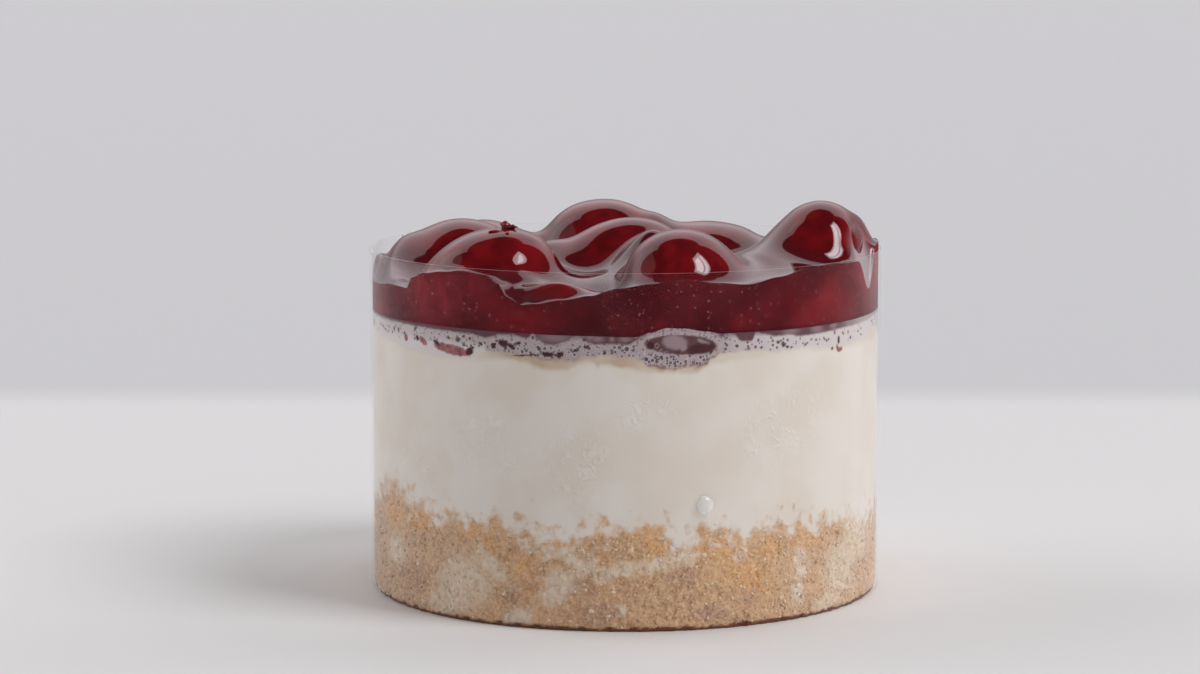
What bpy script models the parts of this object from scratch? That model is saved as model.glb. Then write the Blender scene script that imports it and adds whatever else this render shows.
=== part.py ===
"""Mini cherry cheesecake in a clear band, built from its layers upwards.

A crumb base carries a cream filling. Ten cherries sit on the cream in a wavy
layer of cherry jelly, and a strip of clear film wraps the whole cake with its
two ends lapped at the back. Lengths are in metres, Z is up, and the origin is
the middle of the base's underside. Azimuths are in degrees, 0 at the front
(-Y) and growing towards +X.
"""

import math

import bmesh
import bpy
import numpy as np
from mathutils import Vector, noise

MM = 0.001

# Driving dimensions: the ring that the cake is set in, and the strip round it
RING_RADIUS = 38.1 * MM
STRIP_HEIGHT = 50.8 * MM
CREAM_TOP = 42.0 * MM
BASE_TOP = 13.5 * MM

# Clearances and thin sections
GAP = 0.3 * MM
FILM = 0.25 * MM
FILM_FOOT = 0.4 * MM
CAKE_RADIUS = RING_RADIUS - FILM - GAP
SOCKET_GAP = 0.35 * MM

# Crumb base: its rounded foot, pressed-crumb roughness and shelf under the cream
FOOT_INSET = 0.55 * MM
FOOT_RISE = 2.6 * MM
CRUMB_ROUGH = 0.30 * MM
CRUMB_GRAIN = 2.7 * MM
CRUMB_SHELF = 4.0 * MM
CRUMB_ROWS = (0.0, 0.10, 0.30, 0.60)

# The clear strip's lap, well round the back
LAP_AZIMUTH = 225.0
LAP_ANGLE = 18.0
LAP_RAMP = 14.0
LAP_STEP = FILM + 0.15 * MM

# Mesh fineness: the disc grid is CELLS by CELLS squares with 4 * CELLS rim points
CELLS = 36
RIM_POINTS = 4 * CELLS
CHERRY_SEGMENTS = 20
CHERRY_RINGS = 10
ROUND_EDGE = 40.0

# A pitted cherry's shape: the dent at its stem end and its slight lobes
DENT_DEPTH = 0.09
DENT_SPREAD = 0.42
DENT_DROP = -0.2
LOBE = 0.012

# Jelly: its level between the cherries, and how widely it fillets up to them
JELLY_LEVEL = 48.4 * MM
FILLET = 5.4 * MM
CAP_DEPTH = 1.0 * MM
WALL_REACH = 1.8 * MM
NOTCH_REACH = 1.3 * MM
FALL_FROM = 70.0 * MM
FALL_STEPS = 70
FALL_SHARE = 0.8

# Name, centre x and y, half sizes in x, y and z, yaw and tilt (right side up)
CHERRIES = (
    ("cherry_front_left", (-19.5, -20.2), (9.4, 7.7, 6.1), 12.0, 13.0),
    ("cherry_front", (7.8, -24.8), (7.9, 7.3, 6.3), 20.0, 0.0),
    ("cherry_right", (28.6, -8.5), (7.1, 7.8, 7.6), 0.0, 0.0),
    ("cherry_centre", (-0.4, -6.6), (9.4, 6.9, 6.2), 8.0, 10.0),
    ("cherry_left", (-24.6, 1.6), (8.4, 8.0, 5.8), 0.0, 4.0),
    ("cherry_back", (-3.2, 16.6), (9.1, 8.2, 6.6), -8.0, 0.0),
    ("cherry_back_right", (13.2, 15.8), (7.0, 7.8, 4.9), 0.0, -4.0),
    ("cherry_far_right", (28.4, 8.8), (6.6, 7.0, 4.9), -15.0, 0.0),
    ("cherry_far_left", (-22.2, 18.4), (7.3, 7.6, 4.9), 30.0, 0.0),
    ("cherry_rear", (3.6, 30.0), (7.0, 6.2, 4.6), 0.0, 0.0),
)
CHERRY_SEAT = 0.85 * MM

# Soft swells of jelly with no cherry under them: x, y, rise, half sizes, yaw
SWELLS = (
    (3.8, -14.8, 6.0, 5.2, 3.4, 35.0),
    (-33.0, 2.0, 2.4, 3.2, 6.0, 0.0),
    (20.6, -14.0, 3.6, 8.5, 10.0, -5.0),
    (15.0, -4.0, 0.6, 6.5, 6.0, 0.0),
    (-10.0, -33.5, 1.2, 6.0, 2.4, 15.0),
    (-3.5, -28.0, -2.2, 6.0, 5.5, 15.0),
    (-30.5, -14.0, -1.8, 3.0, 5.0, 20.0),
    (-11.5, -5.0, 3.4, 4.5, 6.0, 0.0),
    (35.4, -4.6, 6.3, 5.6, 6.0, 0.0),
    (22.2, -6.5, 1.1, 2.8, 4.6, 0.0),
    (5.0, 16.0, 4.0, 3.2, 6.0, 0.0),
    (18.6, 14.5, 1.6, 4.0, 6.0, 0.0),
    (-15.4, -29.0, 0.5, 3.4, 1.5, 12.0),
)

# Height of the jelly's edge on the clear strip: azimuth, height above the floor
JELLY_EDGE = (
    (-86.0, 46.2), (-74.0, 46.3), (-64.0, 46.9), (-57.0, 46.8), (-54.6, 48.5),
    (-50.0, 49.4), (-44.0, 49.9), (-38.0, 50.3), (-32.0, 50.0), (-29.0, 48.9),
    (-26.2, 46.9), (-23.5, 46.0), (-20.5, 46.2), (-14.0, 46.9), (-8.0, 47.6),
    (-1.7, 48.7), (5.0, 49.3), (12.2, 49.9), (20.0, 49.2), (27.0, 48.8),
    (35.0, 49.6), (43.5, 50.5), (50.0, 50.6), (58.0, 50.4), (64.0, 50.3),
    (71.0, 50.8), (78.0, 51.8), (94.0, 51.7), (112.0, 48.6), (130.0, 47.8),
    (150.0, 48.8), (168.0, 50.2), (184.0, 49.6), (204.0, 47.6), (226.0, 49.4),
    (244.0, 48.2), (262.0, 49.0),
)

# Pinches where the jelly has drawn back from the strip: azimuth, half width, depth
NOTCHES = ((70.0, 7.0, 4.9),)

# Height of the crumb's ragged top edge: azimuth, height above the floor
CRUMB_EDGE = (
    (-80.0, 14.2), (-63.0, 17.0), (-54.0, 15.5), (-45.0, 14.1), (-36.0, 13.3),
    (-28.0, 14.1), (-21.0, 13.5), (-14.0, 12.3), (-5.0, 14.4), (1.0, 14.6),
    (7.0, 14.2), (12.0, 12.4), (20.0, 14.2), (26.0, 12.1), (35.0, 13.4),
    (47.0, 12.7), (60.0, 12.9), (75.0, 11.9), (92.0, 13.4), (108.0, 12.2),
    (124.0, 14.6), (140.0, 13.1), (158.0, 13.9), (176.0, 12.3), (194.0, 14.8),
    (212.0, 13.2), (230.0, 14.1), (248.0, 12.6), (264.0, 15.2),
)

# Name, colour, roughness, metallic
FINISHES = {
    "crumb": ((0.50, 0.32, 0.17, 1.0), 0.9, 0.0),
    "cream": ((0.78, 0.72, 0.62, 1.0), 0.5, 0.0),
    "jelly": ((0.16, 0.010, 0.014, 1.0), 0.08, 0.0),
    "cherry": ((0.24, 0.006, 0.009, 1.0), 0.15, 0.0),
    "film": ((0.90, 0.90, 0.92, 0.15), 0.05, 0.0),
}


def clear_scene():
    """Remove what the file opened with."""
    for old in list(bpy.data.objects):
        bpy.data.objects.remove(old)


def finish(name):
    """The Principled material of that name, made once."""
    made = bpy.data.materials.get(name)
    if made is None:
        made = bpy.data.materials.new(name)
        made.use_nodes = True
        colour, roughness, metallic = FINISHES[name]
        shader = made.node_tree.nodes["Principled BSDF"]
        shader.inputs["Base Color"].default_value = colour
        shader.inputs["Roughness"].default_value = roughness
        shader.inputs["Metallic"].default_value = metallic
        shader.inputs["Alpha"].default_value = colour[3]
    return made


def add_object(name, mesh, material):
    """Link a mesh as a named object with its material."""
    made = bpy.data.objects.new(name, mesh)
    made.data.materials.append(finish(material))
    bpy.context.scene.collection.objects.link(made)
    return made


def mesh_from(name, points, faces):
    """A mesh with its faces turned outwards."""
    mesh = bpy.data.meshes.new(name)
    mesh.from_pydata([tuple(p) for p in points], [], faces)
    build = bmesh.new()
    build.from_mesh(mesh)
    bmesh.ops.recalc_face_normals(build, faces=build.faces)
    build.to_mesh(mesh)
    build.free()
    return mesh


def shade_round(mesh):
    """Smooth shading, with the true edges kept sharp."""
    mesh.shade_smooth()
    mesh.set_sharp_from_angle(angle=math.radians(ROUND_EDGE))


def edge_height(stations, azimuth):
    """Height at an azimuth, eased between the stations round the ring."""
    first = stations[0][0]
    turned = first + (azimuth - first) % 360.0
    wrapped = stations + ((first + 360.0, stations[0][1]),)
    for (low, below), (high, above) in zip(wrapped, wrapped[1:]):
        if turned <= high:
            share = (turned - low) / (high - low)
            share = share * share * (3.0 - 2.0 * share)
            return (below + (above - below) * share) * MM
    return wrapped[-1][1] * MM


def azimuth_of(x, y):
    """Azimuth of a point, 0 at the front and growing towards +X."""
    return math.degrees(math.atan2(x, -y))


def rim_point(azimuth, radius, height):
    """A point on a circle round the cake's axis."""
    angle = math.radians(azimuth)
    return Vector((radius * math.sin(angle), -radius * math.cos(angle), height))


def disc_grid(radius):
    """Points of an even grid bent into a disc, row by row, as x and y arrays."""
    line = np.linspace(-1.0, 1.0, CELLS + 1)
    u, v = np.meshgrid(line, line)
    x = u * np.sqrt(1.0 - v * v / 2.0)
    y = v * np.sqrt(1.0 - u * u / 2.0)
    return x.ravel() * radius, y.ravel() * radius


def grid_faces():
    """Faces of the disc grid, and its rim points in order."""
    row = CELLS + 1
    faces = []
    for j in range(CELLS):
        for i in range(CELLS):
            near, far = j * row + i, (j + 1) * row + i
            faces.append((near, near + 1, far + 1))
            faces.append((near, far + 1, far))
    front = [i for i in range(CELLS)]
    right = [j * row + CELLS for j in range(CELLS)]
    back = [CELLS * row + i for i in range(CELLS, 0, -1)]
    left = [j * row for j in range(CELLS, 0, -1)]
    return faces, front + right + back + left


def cherry_centre(place, half):
    """Centre of a cherry that sits on the cream with a little jelly under it."""
    seat = CREAM_TOP + GAP + CHERRY_SEAT
    return np.array((place[0] * MM, place[1] * MM, seat + half[2] * MM))


def cherry_axes(yaw, tilt):
    """Rows are the cherry's own axes: long way, front to back, and upwards."""
    turn, lean = math.radians(yaw), math.radians(tilt)
    across = np.array((math.cos(turn), math.sin(turn), 0.0))
    ahead = np.array((-math.sin(turn), math.cos(turn), 0.0))
    up = np.array((0.0, 0.0, 1.0))
    return np.array(
        (
            across * math.cos(lean) + up * math.sin(lean),
            ahead,
            up * math.cos(lean) - across * math.sin(lean),
        )
    )


def ellipsoid_distance(points, centre, axes, half):
    """Near enough the distance from points to an ellipsoid, negative inside."""
    local = (points - centre) @ axes.T
    scaled = np.linalg.norm(local / half, axis=1)
    steep = np.linalg.norm(local / half**2, axis=1)
    return scaled * (scaled - 1.0) / np.maximum(steep, 1e-9)


def blend(first, second, width):
    """Smooth union of two distances, filleted over a width."""
    near = np.maximum(width - np.abs(first - second), 0.0) / width
    return np.minimum(first, second) - near * near * width / 4.0


def swell_heights(x, y):
    """Rise of the jelly's level from its soft swells."""
    total = np.zeros_like(x)
    for place_x, place_y, rise, wide, deep, turn in SWELLS:
        angle = math.radians(turn)
        dx, dy = x - place_x * MM, y - place_y * MM
        along = dx * math.cos(angle) + dy * math.sin(angle)
        aside = dy * math.cos(angle) - dx * math.sin(angle)
        spread = (along / (wide * MM)) ** 2 + (aside / (deep * MM)) ** 2
        total += rise * MM * np.exp(-spread)
    return total


def jelly_heights(x, y, radius, inset):
    """Top of the jelly over points: its level, filleted up the cherries.

    inset is how far under each cherry's own surface the jelly passes.
    """
    level = JELLY_LEVEL + swell_heights(x, y)
    height = np.full_like(x, FALL_FROM)
    for _ in range(FALL_STEPS):
        points = np.stack((x, y, height), axis=1)
        distance = height - level
        for _, place, half, yaw, tilt in CHERRIES:
            size = np.array(half) * MM - inset
            centre = cherry_centre(place, half)
            near = ellipsoid_distance(points, centre, cherry_axes(yaw, tilt), size)
            distance = blend(distance, near, FILLET)
        height = height - FALL_SHARE * distance
    return hang_on_wall(x, y, height, radius)


def hang_on_wall(x, y, height, radius):
    """Draw the jelly's rim to its edge height, easing inwards from the strip."""
    out = np.hypot(x, y)
    edge = np.array([edge_height(JELLY_EDGE, azimuth_of(a, b)) for a, b in zip(x, y)])
    weight = np.exp(-(((radius - out) / WALL_REACH) ** 2))
    height = height + (edge - height) * weight
    azimuth = np.degrees(np.arctan2(x, -y))
    for middle, half, depth in NOTCHES:
        share = np.clip(1.0 - np.abs(azimuth - middle) / half, 0.0, 1.0)
        share = share * share * (3.0 - 2.0 * share)
        height = height - depth * MM * share * np.exp(-(((radius - out) / NOTCH_REACH) ** 2))
    return height


def crumb_radius(azimuth, height):
    """Radius of the crumb wall: drawn in at the foot, rough like pressed crumb."""
    foot = max(0.0, 1.0 - height / FOOT_RISE)
    spot = rim_point(azimuth, CAKE_RADIUS, height) / CRUMB_GRAIN
    rough = max(0.0, noise.noise(spot)) * CRUMB_ROUGH
    return CAKE_RADIUS - FOOT_INSET * foot * foot - rough


def stacked_rings(levels):
    """Wall points from rings of (radius, height) functions of azimuth, bottom up."""
    points = []
    for level in levels:
        for k in range(RIM_POINTS):
            azimuth = 360.0 * k / RIM_POINTS
            points.append(rim_point(azimuth, *level(azimuth)))
    return points


def wall_faces(rings, leaning_back=False):
    """Triangles between neighbouring rings, their diagonals all leaning one way."""
    faces = []
    for level in range(rings - 1):
        low, high = level * RIM_POINTS, (level + 1) * RIM_POINTS
        for k in range(RIM_POINTS):
            after = (k + 1) % RIM_POINTS
            if leaning_back:
                faces.append((low + k, low + after, high + k))
                faces.append((low + after, high + after, high + k))
            else:
                faces.append((low + k, low + after, high + after))
                faces.append((low + k, high + after, high + k))
    return faces


def crumb_base():
    """Pressed crumb disc with a ragged top edge where the cream has run in."""
    levels = [
        lambda azimuth, share=share: (
            crumb_radius(azimuth, share * BASE_TOP),
            share * BASE_TOP,
        )
        for share in CRUMB_ROWS
    ]
    levels.append(lambda azimuth: (CAKE_RADIUS, edge_height(CRUMB_EDGE, azimuth)))
    levels.append(lambda azimuth: (CAKE_RADIUS - CRUMB_SHELF, BASE_TOP))
    points = stacked_rings(levels)
    faces = wall_faces(len(levels))
    last = (len(levels) - 1) * RIM_POINTS
    faces.append(tuple(range(RIM_POINTS)))
    faces.append(tuple(range(last, last + RIM_POINTS)))
    mesh = mesh_from("crumb_base", points, faces)
    return add_object("crumb_base", mesh, "crumb")


def cream_filling():
    """Cream from the crumb's ragged edge up to the flat seat of the jelly."""
    levels = (
        lambda azimuth: (CAKE_RADIUS - CRUMB_SHELF, BASE_TOP + GAP),
        lambda azimuth: (CAKE_RADIUS, edge_height(CRUMB_EDGE, azimuth) + GAP),
        lambda azimuth: (CAKE_RADIUS, (BASE_TOP + CREAM_TOP) / 2.0),
        lambda azimuth: (CAKE_RADIUS, CREAM_TOP),
    )
    points = stacked_rings(levels)
    faces = wall_faces(len(levels), leaning_back=True)
    last = (len(levels) - 1) * RIM_POINTS
    faces.append(tuple(range(RIM_POINTS)))
    faces.append(tuple(range(last, last + RIM_POINTS)))
    mesh = mesh_from("cream_filling", points, faces)
    shade_round(mesh)
    return add_object("cream_filling", mesh, "cream")


def cherry_mesh(name, half, yaw, tilt, grow=0.0):
    """A pitted cherry: slightly lobed, with a soft dent at one end."""
    axes = cherry_axes(yaw, tilt)
    stem = Vector((1.0, 0.0, DENT_DROP)).normalized()
    build = bmesh.new()
    bmesh.ops.create_uvsphere(
        build, u_segments=CHERRY_SEGMENTS, v_segments=CHERRY_RINGS, radius=1.0
    )
    for vertex in build.verts:
        way = vertex.co.normalized()
        dent = DENT_DEPTH * math.exp(-((way.angle(stem) / DENT_SPREAD) ** 2))
        lobe = LOBE * math.cos(2.0 * math.atan2(way.y, way.x) + yaw)
        shaped = np.array(way) * (1.0 - dent + lobe)
        spread = shaped * (np.array(half) * MM + grow)
        vertex.co = Vector(spread @ axes)
    mesh = bpy.data.meshes.new(name)
    build.to_mesh(mesh)
    build.free()
    return mesh


def cherry(name, place, half, yaw, tilt):
    """One cherry on its seat in the jelly."""
    mesh = cherry_mesh(name, half, yaw, tilt)
    shade_round(mesh)
    made = add_object(name, mesh, "cherry")
    made.location = cherry_centre(place, half)
    return made


def socket_cutters():
    """Hidden copies of the cherries, a gap larger all over, that hollow the jelly."""
    group = bpy.data.collections.new("cherry_sockets")
    bpy.context.scene.collection.children.link(group)
    for name, place, half, yaw, tilt in CHERRIES:
        mesh = cherry_mesh(name + "_socket", half, yaw, tilt, grow=SOCKET_GAP)
        cutter = bpy.data.objects.new(name + "_socket", mesh)
        cutter.location = cherry_centre(place, half)
        cutter.hide_render = True
        cutter.display_type = "WIRE"
        group.objects.link(cutter)
    return group


def cherry_jelly():
    """Wavy jelly layer, filleted up the cherries and hollowed to seat them."""
    x, y = disc_grid(CAKE_RADIUS)
    height = jelly_heights(x, y, CAKE_RADIUS, CAP_DEPTH)
    faces, rim = grid_faces()
    points = [Vector(p) for p in zip(x, y, height)]
    foot = CREAM_TOP + GAP
    first = len(points)
    points += [Vector((points[k].x, points[k].y, foot)) for k in rim]
    count = len(rim)
    for k in range(count):
        after = (k + 1) % count
        faces.append((first + k, first + after, rim[after], rim[k]))
    faces.append(tuple(range(first, first + count)))
    mesh = mesh_from("cherry_jelly", points, faces)
    shade_round(mesh)
    made = add_object("cherry_jelly", mesh, "jelly")
    sockets = made.modifiers.new("Cherry sockets", "BOOLEAN")
    sockets.operation = "DIFFERENCE"
    sockets.operand_type = "COLLECTION"
    sockets.collection = socket_cutters()
    sockets.solver = "EXACT"
    return made


def lap_rise(turn):
    """How far the strip stands out where its end laps over its start."""
    share = (turn - (360.0 - LAP_RAMP)) / LAP_RAMP
    share = min(max(share, 0.0), 1.0)
    return LAP_STEP * share * share * (3.0 - 2.0 * share)


def acetate_collar():
    """Clear film round the cake, one strip whose end laps over its start."""
    inner = RING_RADIUS - FILM
    step = 360.0 / RIM_POINTS
    stations = int(round((360.0 + LAP_ANGLE) / step))
    points = []
    for k in range(stations + 1):
        turn = k * step
        azimuth = LAP_AZIMUTH + turn
        stand = lap_rise(turn)
        for radius, height in (
            (inner, FILM_FOOT),
            (inner + FILM, FILM_FOOT),
            (inner + FILM, STRIP_HEIGHT),
            (inner, STRIP_HEIGHT),
        ):
            points.append(rim_point(azimuth, radius + stand, height))
    faces = [(0, 1, 2, 3)]
    for k in range(stations):
        here, there = 4 * k, 4 * (k + 1)
        for a in range(4):
            b = (a + 1) % 4
            faces.append((here + a, here + b, there + b, there + a))
    faces.append(tuple(4 * stations + a for a in (3, 2, 1, 0)))
    mesh = mesh_from("acetate_collar", points, faces)
    shade_round(mesh)
    return add_object("acetate_collar", mesh, "film")


def main():
    """Build the cake from its base upwards, and wrap it."""
    clear_scene()
    crumb_base()
    cream_filling()
    cherry_jelly()
    for each in CHERRIES:
        cherry(*each)
    acetate_collar()


main()
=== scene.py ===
"""Mini cherry cheesecake in a clear film collar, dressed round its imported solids.

The crumb base, the cream, the cherry jelly and the collar are each a class that
holds its sizes in metres and builds and dresses its own meshes. The frame is the
solids' frame: Z up, the origin in the middle of the cake's underside, and the
front of the cake towards -Y. Azimuths are in degrees, 0 at the front and growing
towards +X.
"""

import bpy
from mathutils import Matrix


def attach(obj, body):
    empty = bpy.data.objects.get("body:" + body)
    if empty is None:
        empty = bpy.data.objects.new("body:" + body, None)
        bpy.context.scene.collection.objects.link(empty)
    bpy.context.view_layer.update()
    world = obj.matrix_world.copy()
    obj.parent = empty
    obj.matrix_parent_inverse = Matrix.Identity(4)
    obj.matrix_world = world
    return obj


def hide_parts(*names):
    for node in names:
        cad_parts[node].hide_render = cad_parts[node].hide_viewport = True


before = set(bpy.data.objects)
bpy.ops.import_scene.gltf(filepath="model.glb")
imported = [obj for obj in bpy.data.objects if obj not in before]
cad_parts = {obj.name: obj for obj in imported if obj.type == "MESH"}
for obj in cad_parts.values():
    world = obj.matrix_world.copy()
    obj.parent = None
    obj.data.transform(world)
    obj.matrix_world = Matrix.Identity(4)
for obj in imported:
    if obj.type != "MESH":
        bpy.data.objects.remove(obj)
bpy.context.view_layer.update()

import logging
import math
from dataclasses import dataclass, field
from enum import Enum

import bpy
import numpy as np
from mathutils import Euler, Vector, noise

MM = 0.001
EDGE_ANGLE = math.radians(60.0)
FULL_TURN = 6.28
LOG = logging.getLogger("cheesecake")

Colour = tuple[float, float, float]


class Slot(Enum):
    """Material slots of the record."""

    CRUMB = "crumb"
    CREAM = "cream"
    JELLY = "jelly"
    CHERRY = "cherry"
    FILM = "film"


# Shared sizes and lines


@dataclass(frozen=True)
class Ring:
    """Sizes that all the layers share."""

    radius: float = 38.1 * MM
    film: float = 0.25 * MM
    gap: float = 0.3 * MM
    squeeze: float = 0.16 * MM
    strip_height: float = 50.8 * MM
    film_foot: float = 0.4 * MM
    cream_top: float = 42.0 * MM
    base_top: float = 13.5 * MM
    shelf_inset: float = 4.0 * MM

    @property
    def cake(self) -> float:
        """Radius of the cake pressed against the film."""
        return self.radius - self.film - self.squeeze


RING = Ring()


@dataclass(frozen=True)
class EdgeLine:
    """A height that runs round the ring, eased between stations.

    Attributes:
        stations: Azimuth in degrees and height in millimetres, in order.
    """

    stations: tuple[tuple[float, float], ...]

    def at(self, azimuth: np.ndarray) -> np.ndarray:
        """Height at each azimuth.

        Args:
            azimuth: Azimuths in degrees.

        Returns:
            Heights in metres.
        """
        angles = np.array([a for a, _ in self.stations])
        heights = np.array([h for _, h in self.stations])
        angles = np.append(angles, angles[0] + 360.0)
        heights = np.append(heights, heights[0])
        turned = angles[0] + np.mod(azimuth - angles[0], 360.0)
        at = np.clip(np.searchsorted(angles, turned, side="right") - 1, 0, len(angles) - 2)
        share = (turned - angles[at]) / (angles[at + 1] - angles[at])
        share = share * share * (3.0 - 2.0 * share)
        return (heights[at] + (heights[at + 1] - heights[at]) * share) * MM


JELLY_EDGE = EdgeLine(
    (
        (-86.0, 46.2), (-74.0, 46.3), (-64.0, 46.9), (-57.0, 46.8), (-54.6, 48.5), (-50.0, 49.4),
        (-44.0, 49.9), (-38.0, 50.3), (-32.0, 50.0), (-29.0, 48.9), (-26.2, 46.9), (-23.5, 46.0),
        (-20.5, 46.2), (-14.0, 46.9), (-8.0, 47.6), (-1.7, 48.7), (5.0, 49.3), (12.2, 49.9),
        (20.0, 49.2), (27.0, 48.8), (35.0, 49.6), (43.5, 50.5), (50.0, 50.6), (58.0, 50.4),
        (64.0, 50.3), (71.0, 50.8), (78.0, 51.8), (94.0, 51.7), (112.0, 48.6), (130.0, 47.8),
        (150.0, 48.8), (168.0, 50.2), (184.0, 49.6), (204.0, 47.6), (226.0, 49.4), (244.0, 48.2),
        (262.0, 49.0),
    )
)

CRUMB_EDGE = EdgeLine(
    (
        (-80.0, 14.2), (-63.0, 17.0), (-54.0, 15.5), (-45.0, 14.1), (-36.0, 13.3), (-28.0, 14.1),
        (-21.0, 13.5), (-14.0, 12.3), (-5.0, 14.4), (1.0, 14.6), (7.0, 14.2), (12.0, 12.4),
        (20.0, 14.2), (26.0, 12.1), (35.0, 13.4), (47.0, 12.7), (60.0, 12.9), (75.0, 11.9),
        (92.0, 13.4), (108.0, 12.2), (124.0, 14.6), (140.0, 13.1), (158.0, 13.9), (176.0, 12.3),
        (194.0, 14.8), (212.0, 13.2), (230.0, 14.1), (248.0, 12.6), (264.0, 15.2),
    )
)

# Where the froth meets the jelly, with the hood over the large oval bubble
FROTH_CREST = EdgeLine(
    (
        (-80.0, 41.9), (-40.0, 42.1), (-10.0, 42.0), (2.0, 41.9), (5.0, 42.5), (8.5, 43.1),
        (12.0, 43.0), (17.0, 42.5), (20.5, 42.1), (40.0, 42.0), (90.0, 42.1), (140.0, 41.9),
        (200.0, 42.1), (240.0, 42.0),
    )
)

# Where hanging lobes of jelly end and white foam starts
FOAM_TOP = EdgeLine(
    (
        (-80.0, 41.6), (-63.8, 41.6), (-51.7, 41.6), (-42.6, 41.5), (-36.4, 41.5), (-32.0, 41.1),
        (-28.0, 41.7), (-25.4, 41.8), (-21.8, 41.4), (-20.4, 42.1), (-19.3, 41.3), (-17.5, 40.7),
        (-15.7, 40.6), (-13.3, 41.1), (-11.4, 41.8), (-9.8, 42.4), (-8.6, 41.2), (-6.7, 40.8),
        (-4.4, 40.9), (-2.1, 40.9), (0.2, 40.8), (2.1, 41.4), (3.7, 42.2), (5.3, 42.8), (7.2, 43.0),
        (9.5, 43.1), (12.0, 42.9), (15.3, 42.5), (19.0, 42.0), (20.6, 41.6), (21.8, 42.2),
        (23.2, 41.9), (25.3, 40.9), (27.7, 40.8), (28.9, 42.0), (30.7, 41.6), (33.9, 41.2),
        (37.3, 41.3), (40.8, 40.9), (44.6, 40.9), (48.7, 41.0), (58.6, 41.2), (68.5, 41.3),
        (78.0, 41.7), (92.0, 40.9), (104.0, 41.8), (118.0, 41.1), (131.0, 41.9), (146.0, 40.8),
        (160.0, 41.6), (177.0, 41.0), (192.0, 41.9), (208.0, 40.9), (224.0, 41.6), (238.0, 41.0),
        (256.0, 41.8), (268.0, 41.2),
    )
)

# Where the foam ends on the cream
FOAM_LOW = EdgeLine(
    (
        (-80.0, 39.4), (-64.0, 38.7), (-54.0, 38.3), (-46.0, 37.9), (-37.0, 38.1), (-34.7, 38.7),
        (-31.8, 39.4), (-28.0, 39.3), (-24.4, 39.2), (-20.4, 38.9), (-16.2, 38.6), (-13.1, 38.7),
        (-11.4, 38.6), (-9.6, 39.2), (-6.7, 39.4), (-3.0, 39.3), (0.2, 39.2), (3.0, 38.8),
        (4.4, 38.0), (7.2, 37.7), (10.0, 37.5), (12.9, 37.9), (15.2, 37.7), (17.1, 38.1),
        (18.5, 38.9), (20.1, 39.4), (22.7, 39.5), (26.2, 39.6), (29.5, 39.6), (32.0, 39.3),
        (33.9, 39.1), (37.3, 39.1), (40.8, 39.4), (44.6, 39.3), (54.0, 38.6), (66.0, 39.0),
        (74.5, 39.9), (88.0, 38.6), (101.0, 38.0), (115.0, 38.9), (129.0, 38.3), (144.0, 37.8),
        (158.0, 38.8), (172.0, 38.1), (188.0, 38.9), (203.0, 38.0), (219.0, 38.6), (236.0, 37.9),
        (251.0, 38.9), (268.0, 39.2),
    )
)

# Where the golden stain under the foam ends
STAIN_LOW = EdgeLine(
    (
        (-80.0, 39.2), (-46.0, 37.8), (-34.7, 37.8), (-30.7, 38.1), (-26.7, 38.4), (-22.9, 38.1),
        (-19.4, 37.4), (-16.2, 37.1), (-13.1, 37.2), (-11.4, 37.6), (-10.0, 38.2), (-7.7, 38.4),
        (-6.3, 37.6), (-5.3, 38.1), (-2.6, 38.0), (-0.7, 37.6), (2.5, 37.2), (4.9, 37.1),
        (10.0, 37.0), (14.3, 36.8), (19.0, 38.0), (22.7, 38.1), (27.7, 38.4), (34.0, 38.8),
        (60.0, 38.2), (90.0, 38.0), (103.0, 37.1), (116.0, 38.3), (146.0, 36.9), (160.0, 38.2),
        (190.0, 38.1), (205.0, 36.9), (221.0, 38.1), (237.0, 37.0), (255.0, 38.3),
    )
)

# How thickly dark bubbles crowd the foam, in thousandths
FOAM_CROWD = EdgeLine(
    (
        (-75.0, 100.0), (-64.0, 450.0), (-45.0, 600.0), (-30.0, 850.0), (-10.0, 950.0),
        (10.0, 1000.0), (20.0, 950.0), (25.0, 550.0), (34.0, 300.0), (50.0, 170.0), (66.0, 120.0),
        (90.0, 500.0), (130.0, 900.0), (180.0, 600.0), (230.0, 950.0), (262.0, 300.0),
    )
)


def rim_points(azimuth: np.ndarray, radius: np.ndarray, height: np.ndarray) -> np.ndarray:
    """Points round the cake's axis.

    Args:
        azimuth: Azimuths in degrees.
        radius: Distances from the axis.
        height: Heights above the floor.

    Returns:
        An array of points, one row each.
    """
    angle = np.radians(azimuth)
    shape = np.broadcast(angle, radius, height).shape
    x = np.broadcast_to(radius * np.sin(angle), shape)
    y = np.broadcast_to(-radius * np.cos(angle), shape)
    z = np.broadcast_to(height, shape)
    return np.stack((x, y, z), axis=-1)


def azimuth_of(x: np.ndarray, y: np.ndarray) -> np.ndarray:
    """Azimuth of points, in degrees."""
    return np.degrees(np.arctan2(x, -y))


def ring_azimuths(columns: int) -> np.ndarray:
    """Azimuths of a ring's points, in degrees."""
    return np.arange(columns) * 360.0 / columns


def turned_from(azimuth: np.ndarray, middle: float) -> np.ndarray:
    """Angles from a middle azimuth, from -180 to 180 degrees."""
    return np.mod(azimuth - middle + 180.0, 360.0) - 180.0


def noise_at(points: np.ndarray, scale: float, seed: float = 0.0) -> np.ndarray:
    """Smooth noise at points.

    Args:
        points: Points in metres, one row each.
        scale: Size of one blob of the noise in metres.
        seed: Offset that gives another pattern.

    Returns:
        Values from about -1 to 1.
    """
    shift = Vector((seed, 2.0 * seed, -seed))
    return np.array([noise.noise(Vector(p) / scale + shift) for p in points])


def smooth_step(low: float, high: float, value: np.ndarray) -> np.ndarray:
    """0 below low, 1 above high, and an eased ramp between."""
    share = np.clip((value - low) / (high - low), 0.0, 1.0)
    return share * share * (3.0 - 2.0 * share)


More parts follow.
